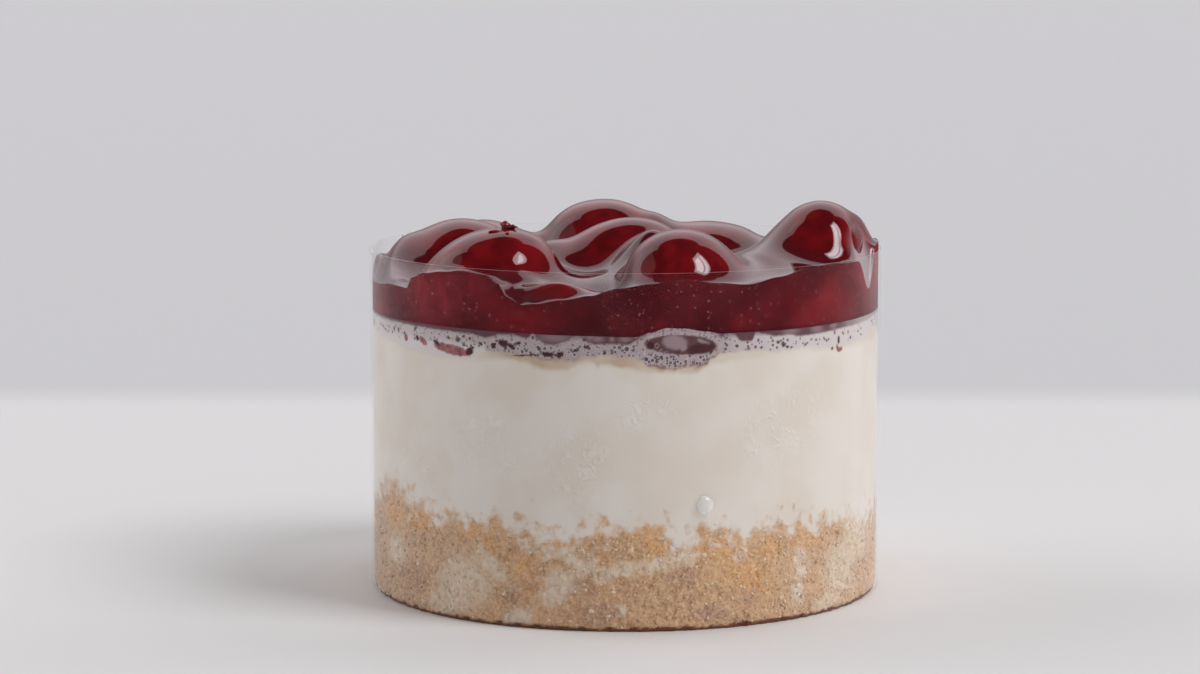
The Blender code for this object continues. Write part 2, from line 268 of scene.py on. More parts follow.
def stretch(azimuth: np.ndarray, start: float, full: float, fade: float, end: float) -> np.ndarray:
    """1 from full to fade, 0 before start and past end, and eased between."""
    return smooth_step(start, full, azimuth) * smooth_step(end, fade, azimuth)


def near_wall(points: np.ndarray) -> np.ndarray:
    """1 at the film and 0 from a little way in from it."""
    return smooth_step(RING.cake - 3.0 * MM, RING.cake - 0.5 * MM, np.hypot(points[:, 0], points[:, 1]))


# Mesh helpers


def ring_faces(columns: int, rows: int) -> list[tuple[int, ...]]:
    """Quads of a closed band, facing outwards when rows run upwards.

    Args:
        columns: Points in each ring.
        rows: Number of rings.

    Returns:
        The faces as tuples of point indices.
    """
    faces = []
    for row in range(rows - 1):
        low = row * columns
        high = low + columns
        for k in range(columns):
            after = (k + 1) % columns
            faces.append((low + k, low + after, high + after, high + k))
    return faces


def capped_band(columns: int, rows: int) -> list[tuple[int, ...]]:
    """Faces of a closed band with a cap over either end.

    Args:
        columns: Points in each ring.
        rows: Number of rings.

    Returns:
        The faces as tuples of point indices.
    """
    last = (rows - 1) * columns
    caps = [tuple(range(columns))[::-1], tuple(range(last, last + columns))]
    return ring_faces(columns, rows) + caps


def ball(columns: int, rows: int) -> tuple[np.ndarray, list[tuple[int, ...]]]:
    """A unit ball of rings with a point at either pole.

    Args:
        columns: Points in each ring.
        rows: Bands from pole to pole.

    Returns:
        Its points, one row each, and its faces.
    """
    down = np.linspace(0.0, math.pi, rows + 1)[1:-1][::-1]
    turn = np.arange(columns) * 2.0 * math.pi / columns
    level, round_ = np.meshgrid(down, turn, indexing="ij")
    way = np.stack(
        (np.sin(level) * np.cos(round_), np.sin(level) * np.sin(round_), np.cos(level)), axis=-1
    ).reshape(-1, 3)
    way = np.vstack((way, (0.0, 0.0, -1.0), (0.0, 0.0, 1.0)))
    faces = ring_faces(columns, rows - 1)
    low, high = len(way) - 2, len(way) - 1
    last = (rows - 2) * columns
    for k in range(columns):
        after = (k + 1) % columns
        faces.append((low, after, k))
        faces.append((high, last + k, last + after))
    return way, faces


def twenty_sided() -> tuple[np.ndarray, tuple[tuple[int, int, int], ...]]:
    """A unit ball of twenty triangles, rough enough for a grain.

    Returns:
        Its points, one row each, and its faces.
    """
    corner = (1.0 + math.sqrt(5.0)) / 2.0
    points = np.array(
        [
            (-1, corner, 0), (1, corner, 0), (-1, -corner, 0), (1, -corner, 0),
            (0, -1, corner), (0, 1, corner), (0, -1, -corner), (0, 1, -corner),
            (corner, 0, -1), (corner, 0, 1), (-corner, 0, -1), (-corner, 0, 1),
        ]
    ) / math.hypot(1.0, corner)
    faces = (
        (0, 11, 5), (0, 5, 1), (0, 1, 7), (0, 7, 10), (0, 10, 11),
        (1, 5, 9), (5, 11, 4), (11, 10, 2), (10, 7, 6), (7, 1, 8),
        (3, 9, 4), (3, 4, 2), (3, 2, 6), (3, 6, 8), (3, 8, 9),
        (4, 9, 5), (2, 4, 11), (6, 2, 10), (8, 6, 7), (9, 8, 1),
    )
    return points, faces


def add_piece(
    name: str, points: np.ndarray, faces: list[tuple[int, ...]], *materials: bpy.types.Material
) -> bpy.types.Object:
    """Make a smooth-shaded mesh object.

    Args:
        name: Name of the piece.
        points: Its points in metres.
        faces: Its faces as tuples of point indices.
        materials: Its materials, in the order of their indices.

    Returns:
        The new object.
    """
    mesh = bpy.data.meshes.new(name)
    mesh.from_pydata(np.asarray(points, dtype=float).tolist(), [], faces)
    mesh.update()
    mesh.shade_smooth()
    for material in materials:
        mesh.materials.append(material)
    made = bpy.data.objects.new(name, mesh)
    bpy.context.scene.collection.objects.link(made)
    return made


def add_value(piece: bpy.types.Object, name: str, values: np.ndarray) -> None:
    """Store one number per point for the material to read.

    Args:
        piece: The object.
        name: Name of the attribute.
        values: One value for each point.
    """
    layer = piece.data.attributes.new(name, "FLOAT", "POINT")
    layer.data.foreach_set("value", np.asarray(values, dtype=np.float32).ravel())


def settle(piece: bpy.types.Object, slot: Slot, *nodes: str) -> None:
    """Tie a piece to the cake's body and hide the solids it stands for.

    Args:
        piece: The object.
        slot: Material slot of the record; not used.
        nodes: Solids that the piece replaces.
    """
    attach(piece, "root")
    if nodes:
        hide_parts(*nodes)
    LOG.info("%s: %d faces", piece.name, len(piece.data.polygons))


# Node wiring


class Wiring:
    """A node tree and short ways to add to it."""

    def __init__(self, tree: bpy.types.NodeTree) -> None:
        """Keep the tree."""
        self.tree = tree

    def node(self, kind: str, **settings: object) -> bpy.types.Node:
        """Add a node and set its properties.

        Args:
            kind: Type name of the node.
            settings: Properties and their values.

        Returns:
            The new node.
        """
        made = self.tree.nodes.new(kind)
        for key, value in settings.items():
            setattr(made, key, value)
        return made

    def feed(self, socket: bpy.types.NodeSocket, source: object) -> None:
        """Link a socket to a source, or set it where the source is a plain value.

        Args:
            socket: The input socket.
            source: An output socket, or a plain value.
        """
        if isinstance(source, bpy.types.NodeSocket):
            self.tree.links.new(source, socket)
        elif isinstance(source, tuple) and len(source) == 3 and len(socket.default_value) == 4:
            socket.default_value = (*source, 1.0)
        else:
            socket.default_value = source

    def math(self, operation: str, *values: object) -> bpy.types.NodeSocket:
        """A Math node over values or sockets.

        Args:
            operation: Name of the sum.
            values: Sockets or numbers that go into it.

        Returns:
            The socket that gives it.
        """
        made = self.node("ShaderNodeMath", operation=operation)
        for socket, value in zip(made.inputs, values):
            self.feed(socket, value)
        return made.outputs[0]

    def mix(self, share: object, first: object, second: object) -> bpy.types.NodeSocket:
        """A colour from first to second by share.

        Args:
            share: 0 for the first colour and 1 for the second.
            first: First colour, or its socket.
            second: Second colour, or its socket.

        Returns:
            The socket that gives it.
        """
        made = self.node("ShaderNodeMix", data_type="RGBA")
        self.feed(made.inputs[0], share)
        self.feed(made.inputs[6], first)
        self.feed(made.inputs[7], second)
        return made.outputs[2]

    def tint(self, base: object, mask: object, strength: object, colour: object) -> bpy.types.NodeSocket:
        """The base colour, tinted by a mask at the strength given."""
        return self.mix(self.math("MULTIPLY", mask, strength), base, colour)

    def ramp(self, value: object, low: object, high: object) -> bpy.types.NodeSocket:
        """0 at low and 1 at high, eased, for a value.

        Args:
            value: The value, or its socket.
            low: Value that gives 0, or its socket.
            high: Value that gives 1, or its socket.

        Returns:
            The socket that gives it.
        """
        made = self.node("ShaderNodeMapRange", interpolation_type="SMOOTHSTEP")
        self.feed(made.inputs["Value"], value)
        self.feed(made.inputs["From Min"], low)
        self.feed(made.inputs["From Max"], high)
        return made.outputs["Result"]

    def attribute(self, name: str) -> bpy.types.NodeSocket:
        """The number that the mesh stores under a name."""
        return self.node("ShaderNodeAttribute", attribute_name=name).outputs["Fac"]

    def group(self, tree: bpy.types.NodeTree, **values: object) -> bpy.types.Node:
        """Place a node group with its own values.

        Args:
            tree: The node group.
            values: Input names, with _ for each space, and their values.

        Returns:
            The group's node.
        """
        made = self.node("ShaderNodeGroup")
        made.node_tree = tree
        for key, value in values.items():
            self.feed(made.inputs[key.replace("_", " ")], value)
        return made


def new_group(name: str, inputs: dict[str, float], outputs: tuple[str, ...]) -> Wiring:
    """Start a shader node group of plain numbers.

    Args:
        name: Name of the group.
        inputs: Input names and their usual values.
        outputs: Output names.

    Returns:
        The wiring of the new group.
    """
    tree = bpy.data.node_groups.new(name, "ShaderNodeTree")
    for key, value in inputs.items():
        socket = tree.interface.new_socket(key, in_out="INPUT", socket_type="NodeSocketFloat")
        socket.default_value = value
    for key in outputs:
        tree.interface.new_socket(key, in_out="OUTPUT", socket_type="NodeSocketFloat")
    return Wiring(tree)


def millimetres(wiring: Wiring) -> bpy.types.NodeSocket:
    """Object coordinates in millimetres.

    Args:
        wiring: The wiring to add to.

    Returns:
        The socket that gives them.
    """
    place = wiring.node("ShaderNodeTexCoord").outputs["Object"]
    scaled = wiring.node("ShaderNodeVectorMath", operation="SCALE")
    wiring.feed(scaled.inputs[0], place)
    scaled.inputs["Scale"].default_value = 1.0 / MM
    return scaled.outputs[0]


class Effects:
    """The node groups that the finishes share."""

    def __init__(self) -> None:
        """Build each group once."""
        self.mottle = self.make_mottle()
        self.bubbles = self.make_bubbles()
        self.panel = self.make_panel()

    def make_mottle(self) -> bpy.types.NodeTree:
        """Cloudy variation: blobs of Size mm, as a 0 to 1 mask and a height.

        Returns:
            The node group.
        """
        wiring = new_group(
            "Mottle",
            {"Size": 2.0, "Detail": 3.0, "Low": 0.4, "High": 0.6, "Twist": 0.0},
            ("Mask", "Height"),
        )
        given = wiring.node("NodeGroupInput").outputs
        cloud = wiring.node("ShaderNodeTexNoise", noise_dimensions="3D")
        wiring.feed(cloud.inputs["Vector"], millimetres(wiring))
        wiring.feed(cloud.inputs["Scale"], wiring.math("DIVIDE", 1.0, given["Size"]))
        wiring.feed(cloud.inputs["Detail"], given["Detail"])
        wiring.feed(cloud.inputs["Distortion"], given["Twist"])
        out = wiring.node("NodeGroupOutput").inputs
        wiring.feed(out["Mask"], wiring.ramp(cloud.outputs["Fac"], given["Low"], given["High"]))
        wiring.feed(out["Height"], cloud.outputs["Fac"])
        return wiring.tree

    def make_bubbles(self) -> bpy.types.NodeTree:
        """Round dots of mixed size in cells of Cell mm, Share of them filled, as a mask.

        Returns:
            The node group.
        """
        wiring = new_group("Bubbles", {"Cell": 0.8, "Fill": 0.3, "Edge": 0.06, "Share": 1.0}, ("Mask",))
        given = wiring.node("NodeGroupInput").outputs
        cells = wiring.node("ShaderNodeTexVoronoi", feature="F1")
        wiring.feed(cells.inputs["Vector"], millimetres(wiring))
        wiring.feed(cells.inputs["Scale"], wiring.math("DIVIDE", 1.0, given["Cell"]))
        parts = wiring.node("ShaderNodeSeparateColor")
        wiring.feed(parts.inputs[0], cells.outputs["Color"])
        spare = wiring.math("MULTIPLY_ADD", parts.outputs[0], 0.65, 0.35)
        size = wiring.math("MULTIPLY", given["Fill"], spare)
        inside = wiring.math("SUBTRACT", size, cells.outputs["Distance"])
        filled = wiring.ramp(inside, wiring.math("MULTIPLY", given["Edge"], -1.0), given["Edge"])
        kept = wiring.math("LESS_THAN", parts.outputs[1], given["Share"])
        out = wiring.node("NodeGroupOutput").inputs
        wiring.feed(out["Mask"], wiring.math("MULTIPLY", filled, kept))
        return wiring.tree

    def make_panel(self) -> bpy.types.NodeTree:
        """A rectangle of the studio's surroundings, in degrees, as a 0 to 1 mask.

        Returns:
            The node group.
        """
        wiring = new_group(
            "Studio panel",
            {"Azimuth": 0.0, "Half width": 45.0, "Low": 0.0, "High": 60.0, "Soft": 2.0, "Rise": 2.0},
            ("Mask",),
        )
        given = wiring.node("NodeGroupInput").outputs
        way = wiring.node("ShaderNodeSeparateXYZ")
        wiring.feed(way.inputs[0], wiring.node("ShaderNodeTexCoord").outputs["Generated"])
        turned = wiring.math("ARCTAN2", way.outputs[0], wiring.math("MULTIPLY", way.outputs[1], -1.0))
        turned = wiring.math("SUBTRACT", wiring.math("DEGREES", turned), given["Azimuth"])
        aside = wiring.math("ABSOLUTE", wiring.math("WRAP", turned, 180.0, -180.0))
        raised = wiring.math("DEGREES", wiring.math("ARCSINE", way.outputs[2]))
        shares = []
        for inside, fade in (
            (wiring.math("SUBTRACT", given["Half width"], aside), given["Soft"]),
            (wiring.math("SUBTRACT", given["High"], raised), given["Soft"]),
            (wiring.math("SUBTRACT", raised, given["Low"]), given["Rise"]),
        ):
            shares.append(wiring.ramp(wiring.math("DIVIDE", inside, fade), -0.5, 0.5))
        both = wiring.math("MULTIPLY", shares[0], shares[1])
        out = wiring.node("NodeGroupOutput").inputs
        wiring.feed(out["Mask"], wiring.math("MULTIPLY", both, shares[2]))
        return wiring.tree


# Finishes


def new_material(name: str) -> tuple[bpy.types.Material, Wiring, bpy.types.Node]:
    """A material with its Principled shader.

    Args:
        name: Name of the material.

    Returns:
        The material, its wiring and the shader node.
    """
    made = bpy.data.materials.new(name)
    made.use_nodes = True
    shader = made.node_tree.nodes["Principled BSDF"]
    return made, Wiring(made.node_tree), shader


def add_bump(
    wiring: Wiring, shader: bpy.types.Node, height: object, depth: float, strength: float
) -> None:
    """Feed the shader's normal from a height.

    Args:
        wiring: The material's wiring.
        shader: Its Principled shader.
        height: Socket that gives the height.
        depth: Depth of the relief in metres.
        strength: Strength of the bump.
    """
    bump = wiring.node("ShaderNodeBump")
    bump.inputs["Strength"].default_value = strength
    bump.inputs["Distance"].default_value = depth
    wiring.feed(bump.inputs["Height"], height)
    wiring.feed(shader.inputs["Normal"], bump.outputs["Normal"])


@dataclass(frozen=True)
class JellyFinish:
    """Wet cherry jelly: dark wine where it is thick, red over the cherries."""

    wine: Colour = (0.085, 0.0045, 0.0080)
    red: Colour = (0.190, 0.0050, 0.0080)
    deep_red: Colour = (0.105, 0.0030, 0.0050)
    smear: Colour = (0.46, 0.37, 0.385)

    def make(self, effects: Effects) -> bpy.types.Material:
        """Build the material of the open top.

        Args:
            effects: The shader node groups that the finishes share.

        Returns:
            The new material.
        """
        made, wiring, shader = new_material("Cherry jelly")
        cloud = wiring.group(effects.mottle, Size=3.4, Detail=3.0, Low=0.35, High=0.65)
        flesh = wiring.mix(cloud.outputs["Mask"], self.deep_red, self.red)
        # The flesh value also holds the painted fruit and painted glow spots
        top = wiring.mix(wiring.attribute("flesh"), self.wine, flesh)
        top = wiring.mix(wiring.attribute("smear"), top, self.smear)
        wiring.feed(shader.inputs["Base Color"], top)
        shader.inputs["Roughness"].default_value = 0.03
        shader.inputs["IOR"].default_value = 1.42
        return made


@dataclass(frozen=True)
class JellySideFinish:
    """Jelly pressed against the film: wetted, so without a shine of its own."""

    wine: Colour = (0.275, 0.0290, 0.0400)
    dark: Colour = (0.066, 0.0058, 0.0090)
    # Painted light: brighter red painted on the left end of the side, and in random patches elsewhere
    left_glow_and_patches: Colour = (0.40, 0.052, 0.064)
    ember: Colour = (0.37, 0.021, 0.030)
    speck: Colour = (0.46, 0.20, 0.20)

    def make(self, effects: Effects) -> bpy.types.Material:
        """Build the material of the side.

        Args:
            effects: The shader node groups that the finishes share.

        Returns:
            The new material.
        """
        made, wiring, shader = new_material("Cherry jelly behind the film")
        fine = wiring.group(effects.mottle, Size=0.9, Detail=4.0, Low=0.35, High=0.7)
        cloud = wiring.group(effects.mottle, Size=4.5, Detail=2.0, Low=0.4, High=0.62)
        pulp = wiring.group(effects.mottle, Size=1.6, Detail=3.0, Low=0.52, High=0.72)
        specks = wiring.group(effects.bubbles, Cell=0.60, Fill=0.30, Edge=0.10, Share=0.40)
        band = wiring.mix(wiring.attribute("glow"), self.dark, self.wine)
        # Painted light at the side's left end, with random patches of it elsewhere
        band = wiring.mix(wiring.attribute("left_glow_and_patches"), band, self.left_glow_and_patches)
        band = wiring.tint(band, cloud.outputs["Mask"], 0.35, self.dark)
        band = wiring.mix(wiring.attribute("ember"), band, self.ember)
        band = wiring.tint(band, pulp.outputs["Mask"], 0.17, self.ember)
        band = wiring.tint(band, fine.outputs["Mask"], 0.30, self.dark)
        lit = wiring.math("MULTIPLY_ADD", wiring.attribute("glow"), 0.3, 0.30)
        band = wiring.tint(band, specks.outputs["Mask"], lit, self.speck)
        wiring.feed(shader.inputs["Base Color"], band)
        shader.inputs["Roughness"].default_value = 0.6
        shader.inputs["Specular IOR Level"].default_value = 0.0
        return made


@dataclass(frozen=True)
class CherryFinish:
    """Cooked cherry flesh, deep red with darker veins."""

    red: Colour = (0.22, 0.006, 0.010)
    dark: Colour = (0.075, 0.002, 0.004)

    def make(self, effects: Effects) -> bpy.types.Material:
        """Build the material.

        Args:
            effects: The shader node groups that the finishes share.

        Returns:
            The new material.
        """
        made, wiring, shader = new_material("Cherry flesh")
        cloud = wiring.group(effects.mottle, Size=1.8, Detail=4.0, Low=0.3, High=0.7)
        wiring.feed(shader.inputs["Base Color"], wiring.mix(cloud.outputs["Mask"], self.dark, self.red))
        shader.inputs["Roughness"].default_value = 0.2
        add_bump(wiring, shader, cloud.outputs["Height"], 0.15 * MM, 0.4)
        return made


@dataclass(frozen=True)
class CreamFinish:
    """Ivory cream with its frothy upper edge and crumb that shows through low down."""

    pale_foam: Colour = (0.74, 0.67, 0.665)
    foam: Colour = (0.44, 0.355, 0.372)
    rim: Colour = (0.64, 0.560, 0.570)
    lobe: Colour = (0.108, 0.033, 0.042)
    haze: Colour = (0.34, 0.250, 0.275)
    dot: Colour = (0.062, 0.028, 0.036)
    wine: Colour = (0.062, 0.010, 0.015)
    fruit: Colour = (0.40, 0.125, 0.130)
    deep_fruit: Colour = (0.22, 0.045, 0.050)
    stain: Colour = (0.57, 0.430, 0.300)
    crease: Colour = (0.93, 0.88, 0.83)
    rind: Colour = (0.26, 0.125, 0.105)

    def make(self, effects: Effects) -> bpy.types.Material:
        """Build the material.

        Args:
            effects: The shader node groups that the finishes share.

        Returns:
            The new material.
        """
        made, wiring, shader = new_material("Cream filling")
        cling = wiring.group(effects.mottle, Size=1.5, Detail=4.0, Low=0.50, High=0.64, Twist=1.2)
        relief = wiring.math("MULTIPLY", cling.outputs["Mask"], wiring.attribute("cling"))
        base = side_colour(wiring, effects)
        base = wiring.tint(base, relief, 0.30, self.crease)
        base = wiring.mix(wiring.attribute("stain"), base, self.stain)
        crowd = wiring.attribute("crowd")
        base = wiring.mix(wiring.attribute("foam"), base, wiring.mix(crowd, self.pale_foam, self.foam))
        base = wiring.mix(wiring.attribute("rind"), base, self.rind)
        few = wiring.math("MULTIPLY", crowd, 0.6)
        for cell, fill, share, colour, strength in (
            (0.52, 0.76, crowd, self.rim, 0.55),
            (1.00, 0.52, few, self.rim, 0.55),
            (0.52, 0.54, crowd, self.dot, 0.80),
            (1.00, 0.36, few, self.dot, 0.90),
        ):
            dots = wiring.group(effects.bubbles, Cell=cell, Fill=fill, Edge=0.07, Share=share)
            shown = wiring.math("MULTIPLY", dots.outputs["Mask"], wiring.attribute("dotted"))
            base = wiring.tint(base, shown, strength, colour)
        base = wiring.mix(wiring.attribute("lobe"), base, self.lobe)
        base = wiring.mix(wiring.attribute("haze"), base, self.haze)
        pulp = wiring.group(effects.mottle, Size=0.8, Detail=3.0, Low=0.35, High=0.65)
        flesh = wiring.mix(pulp.outputs["Mask"], self.fruit, self.deep_fruit)
        base = wiring.mix(wiring.attribute("fruit"), base, flesh)
        base = wiring.mix(wiring.attribute("wine"), base, self.wine)
        wiring.feed(shader.inputs["Base Color"], base)
        shader.inputs["Roughness"].default_value = 0.5
        shader.inputs["Specular IOR Level"].default_value = 0.2
        add_bump(wiring, shader, relief, 0.16 * MM, 0.5)
        return made


def crumb_amount(wiring: Wiring, effects: Effects) -> bpy.types.NodeSocket:
    """How much crumb shows against cream, 1 well below the ragged edge and 0 above it.

    Args:
        wiring: The wiring of the material to add to.
        effects: The shader node groups that the finishes share.

    Returns:
        The socket that gives it.
    """
    ragged = wiring.group(effects.mottle, Size=1.6, Detail=3.0, Low=0.0, High=1.0)
    patchy = wiring.group(effects.mottle, Size=4.6, Detail=2.0, Low=0.0, High=1.0)
    lift = wiring.math("MULTIPLY", wiring.math("SUBTRACT", ragged.outputs["Height"], 0.5), 12.0)
    drift = wiring.math("MULTIPLY", wiring.math("SUBTRACT", patchy.outputs["Height"], 0.5), 8.0)
    level = wiring.math("ADD", wiring.attribute("above"), wiring.math("ADD", lift, drift))
    return wiring.ramp(wiring.math("MULTIPLY", level, -1.0), -2.3, 1.7)


@dataclass(frozen=True)
class SideTones:
    """Colours of the cream, of the pressed crumb and of the cream that has run into it."""

    ivory: Colour = (0.825, 0.760, 0.700)
    warm: Colour = (0.785, 0.705, 0.625)
    tan: Colour = (0.68, 0.405, 0.225)
    brown: Colour = (0.45, 0.235, 0.120)
    pale: Colour = (0.88, 0.690, 0.480)
    cream: Colour = (0.79, 0.665, 0.535)
    rust: Colour = (0.70, 0.360, 0.140)
    mauve: Colour = (0.36, 0.185, 0.140)
    dull: Colour = (0.60, 0.455, 0.375)
    # Painted shadow along the crumb's foot, where it meets the floor
    foot_shadow: Colour = (0.17, 0.055, 0.025)


TONES = SideTones()


def crumb_colour(wiring: Wiring, effects: Effects) -> bpy.types.NodeSocket:
    """Colour of the crumb: mottled tan with rusty, mauve and pale places.

    Args:
        wiring: The wiring of the material to add to.
        effects: The shader node groups that the finishes share.

    Returns:
        The socket that gives it.
    """
    grain = wiring.group(effects.mottle, Size=0.42, Detail=4.0, Low=0.3, High=0.7)
    blotch = wiring.group(effects.mottle, Size=1.5, Detail=5.0, Low=0.36, High=0.60)
    broad = wiring.group(effects.mottle, Size=5.0, Detail=2.0, Low=0.38, High=0.62)
    light = wiring.math("MULTIPLY_ADD", blotch.outputs["Mask"], 0.65, 0.15)
    base = wiring.mix(light, TONES.brown, TONES.tan)
    base = wiring.mix(wiring.attribute("dull"), base, TONES.dull)
    base = wiring.mix(wiring.attribute("mauve"), base, TONES.mauve)
    rusty = wiring.math("MULTIPLY_ADD", broad.outputs["Mask"], 0.15, wiring.attribute("rust"))
    base = wiring.mix(wiring.math("MINIMUM", rusty, 1.0), base, TONES.rust)
    base = wiring.tint(base, grain.outputs["Mask"], 0.40, TONES.pale)
    veined = wiring.group(effects.mottle, Size=1.1, Detail=4.0, Low=0.30, High=0.62)
    run_in = wiring.math("MULTIPLY_ADD", veined.outputs["Mask"], 0.6, 0.4)
    return wiring.tint(base, wiring.attribute("patch"), run_in, TONES.cream)


def side_colour(wiring: Wiring, effects: Effects) -> bpy.types.NodeSocket:
    """Colour of the cake's side: ivory cream above the ragged line and crumb below it.

    Args:
        wiring: The wiring of the material to add to.
        effects: The shader node groups that the finishes share.

    Returns:
        The socket that gives it.
    """
    broad = wiring.group(effects.mottle, Size=9.0, Detail=2.0, Low=0.35, High=0.65)
    ivory = wiring.mix(broad.outputs["Mask"], TONES.warm, TONES.ivory)
    return wiring.mix(crumb_amount(wiring, effects), ivory, crumb_colour(wiring, effects))


@dataclass(frozen=True)
class CrumbFinish:
    """Pressed biscuit crumb, flush and creamy along its ragged upper edge."""

    roughness: float = 0.85
    depth: float = 0.25 * MM

    def make(self, effects: Effects) -> bpy.types.Material:
        """Build the material.

        Args:
            effects: The shader node groups that the finishes share.

        Returns:
            The new material.
        """
        made, wiring, shader = new_material("Biscuit crumb")
        # The foot value paints shadow along the crumb's foot
        base = wiring.mix(wiring.attribute("foot"), side_colour(wiring, effects), TONES.foot_shadow)
        wiring.feed(shader.inputs["Base Color"], base)
        shader.inputs["Roughness"].default_value = self.roughness
        grain = wiring.group(effects.mottle, Size=0.5, Detail=4.0, Low=0.3, High=0.7)
        relief = wiring.math("MULTIPLY", grain.outputs["Height"], wiring.attribute("grit"))
        add_bump(wiring, shader, relief, self.depth, 0.6)
        return made


@dataclass(frozen=True)
class GrainFinish:
    """Loose biscuit grains, toned after the crumb round them."""

    dark: Colour = (0.40, 0.225, 0.125)
    pale: Colour = (0.86, 0.740, 0.570)

    def make(self, effects: Effects) -> bpy.types.Material:
        """Build the material.

        Args:
            effects: The shader node groups that the finishes share.

        Returns:
            The new material.
        """
        made, wiring, shader = new_material("Biscuit grains")
        base = side_colour(wiring, effects)
        tone = wiring.attribute("tone")
        base = wiring.tint(base, wiring.ramp(tone, 0.30, 0.0), 0.30, self.dark)
        base = wiring.tint(base, wiring.ramp(tone, 0.45, 1.0), 0.80, self.pale)
        # The foot value paints shadow on grains at the crumb's foot
        base = wiring.mix(wiring.attribute("foot"), base, TONES.foot_shadow)
        wiring.feed(shader.inputs["Base Color"], base)
        shader.inputs["Roughness"].default_value = 0.85
        return made


@dataclass(frozen=True)
class FilmFinish:
    """Clear film: faint haze, fine dust and a mirror edge-on."""

    haze: Colour = (0.80, 0.80, 0.84)
    haze_share: float = 0.001
    haze_edge_on: float = 0.05
    dust_share: float = 0.02
    face_on: float = 0.002
    gloss_edge_on: float = 0.33

    def make(self, effects: Effects) -> bpy.types.Material:
        """Build the material: clear, then haze, then gloss over both.

        Args:
            effects: The shader node groups that the finishes share.

        Returns:
            The new material.
        """
        made, wiring, shader = new_material("Clear film")
        dust = wiring.group(effects.bubbles, Cell=0.45, Fill=0.16, Edge=0.05)
        smear = wiring.group(effects.mottle, Size=6.0, Detail=3.0, Low=0.35, High=0.7)
        facing = wiring.node("ShaderNodeLayerWeight")
        facing.inputs["Blend"].default_value = 0.5
        aside = facing.outputs["Facing"]
        share = wiring.math("MULTIPLY", dust.outputs["Mask"], self.dust_share)
        share = wiring.math("ADD", share, wiring.math("MULTIPLY", smear.outputs["Mask"], 0.003))
        share = wiring.math("ADD", share, self.haze_share)
        share = wiring.math(
            "ADD", share, wiring.math("MULTIPLY", wiring.math("POWER", aside, 3.0), self.haze_edge_on)
        )
        clear = wiring.node("ShaderNodeBsdfTransparent")
        cloudy = wiring.node("ShaderNodeMixShader")
        shader.inputs["Base Color"].default_value = (*self.haze, 1.0)
        shader.inputs["Roughness"].default_value = 0.6
        shader.inputs["Specular IOR Level"].default_value = 0.0
        wiring.feed(cloudy.inputs[0], share)
        wiring.feed(cloudy.inputs[1], clear.outputs[0])
        wiring.feed(cloudy.inputs[2], shader.outputs[0])
        mirror = wiring.math("MULTIPLY", wiring.math("POWER", aside, 5.0), self.gloss_edge_on)
        mirror = wiring.math("ADD", mirror, self.face_on)
        gloss = wiring.node("ShaderNodeBsdfGlossy")
        gloss.inputs["Roughness"].default_value = 0.04
        gloss.inputs["Color"].default_value = (1.0, 1.0, 1.0, 1.0)
        both = wiring.node("ShaderNodeMixShader")
        wiring.feed(both.inputs[0], mirror)
        wiring.feed(both.inputs[1], cloudy.outputs[0])
        wiring.feed(both.inputs[2], gloss.outputs[0])
        wiring.feed(made.node_tree.nodes["Material Output"].inputs["Surface"], both.outputs[0])
        return made


@dataclass(frozen=True)
class FilmEdgeFinish:
    """Cut edge of the film, which gathers light into a thin pale line."""

    pale: Colour = (0.62, 0.62, 0.66)

    def make(self) -> bpy.types.Material:
        """Build the material.

        Returns:
            The new material.
        """
        made, wiring, shader = new_material("Film cut edge")
        wiring.feed(shader.inputs["Base Color"], self.pale)
        shader.inputs["Roughness"].default_value = 0.3
        shader.inputs["Alpha"].default_value = 0.55
        return made


# The cherries and the jelly


@dataclass(frozen=True)
class Cherry:
    """One cherry in the jelly, with its sizes in millimetres and angles in degrees."""

    name: str
    place: tuple[float, float]
    half: tuple[float, float, float]
    yaw: float
    tilt: float
    seat: float = 0.85

    @property
    def centre(self) -> np.ndarray:
        """Centre of the cherry in metres."""
        foot = RING.cream_top + RING.gap + self.seat * MM
        return np.array((self.place[0] * MM, self.place[1] * MM, foot + self.half[2] * MM))

    @property
    def axes(self) -> np.ndarray:
        """Its long way, front to back and upward axes, one to a row.

        Returns:
            An array of three unit rows.
        """
        turn, lean = math.radians(self.yaw), math.radians(self.tilt)
        across = np.array((math.cos(turn), math.sin(turn), 0.0))
        ahead = np.array((-math.sin(turn), math.cos(turn), 0.0))
        up = np.array((0.0, 0.0, 1.0))
        return np.array(
            (
                across * math.cos(lean) + up * math.sin(lean),
                ahead,
                up * math.cos(lean) - across * math.sin(lean),
            )
        )

    def distance(self, points: np.ndarray) -> np.ndarray:
        """Near enough the distance of points from its surface, negative inside.

        Args:
            points: Points in metres, one row each.

        Returns:
            Distances in metres.
        """
        half = np.array(self.half) * MM
        local = (points - self.centre) @ self.axes.T
        scaled = np.linalg.norm(local / half, axis=1)
        steep = np.linalg.norm(local / half**2, axis=1)
        return scaled * (scaled - 1.0) / np.maximum(steep, 1e-9)


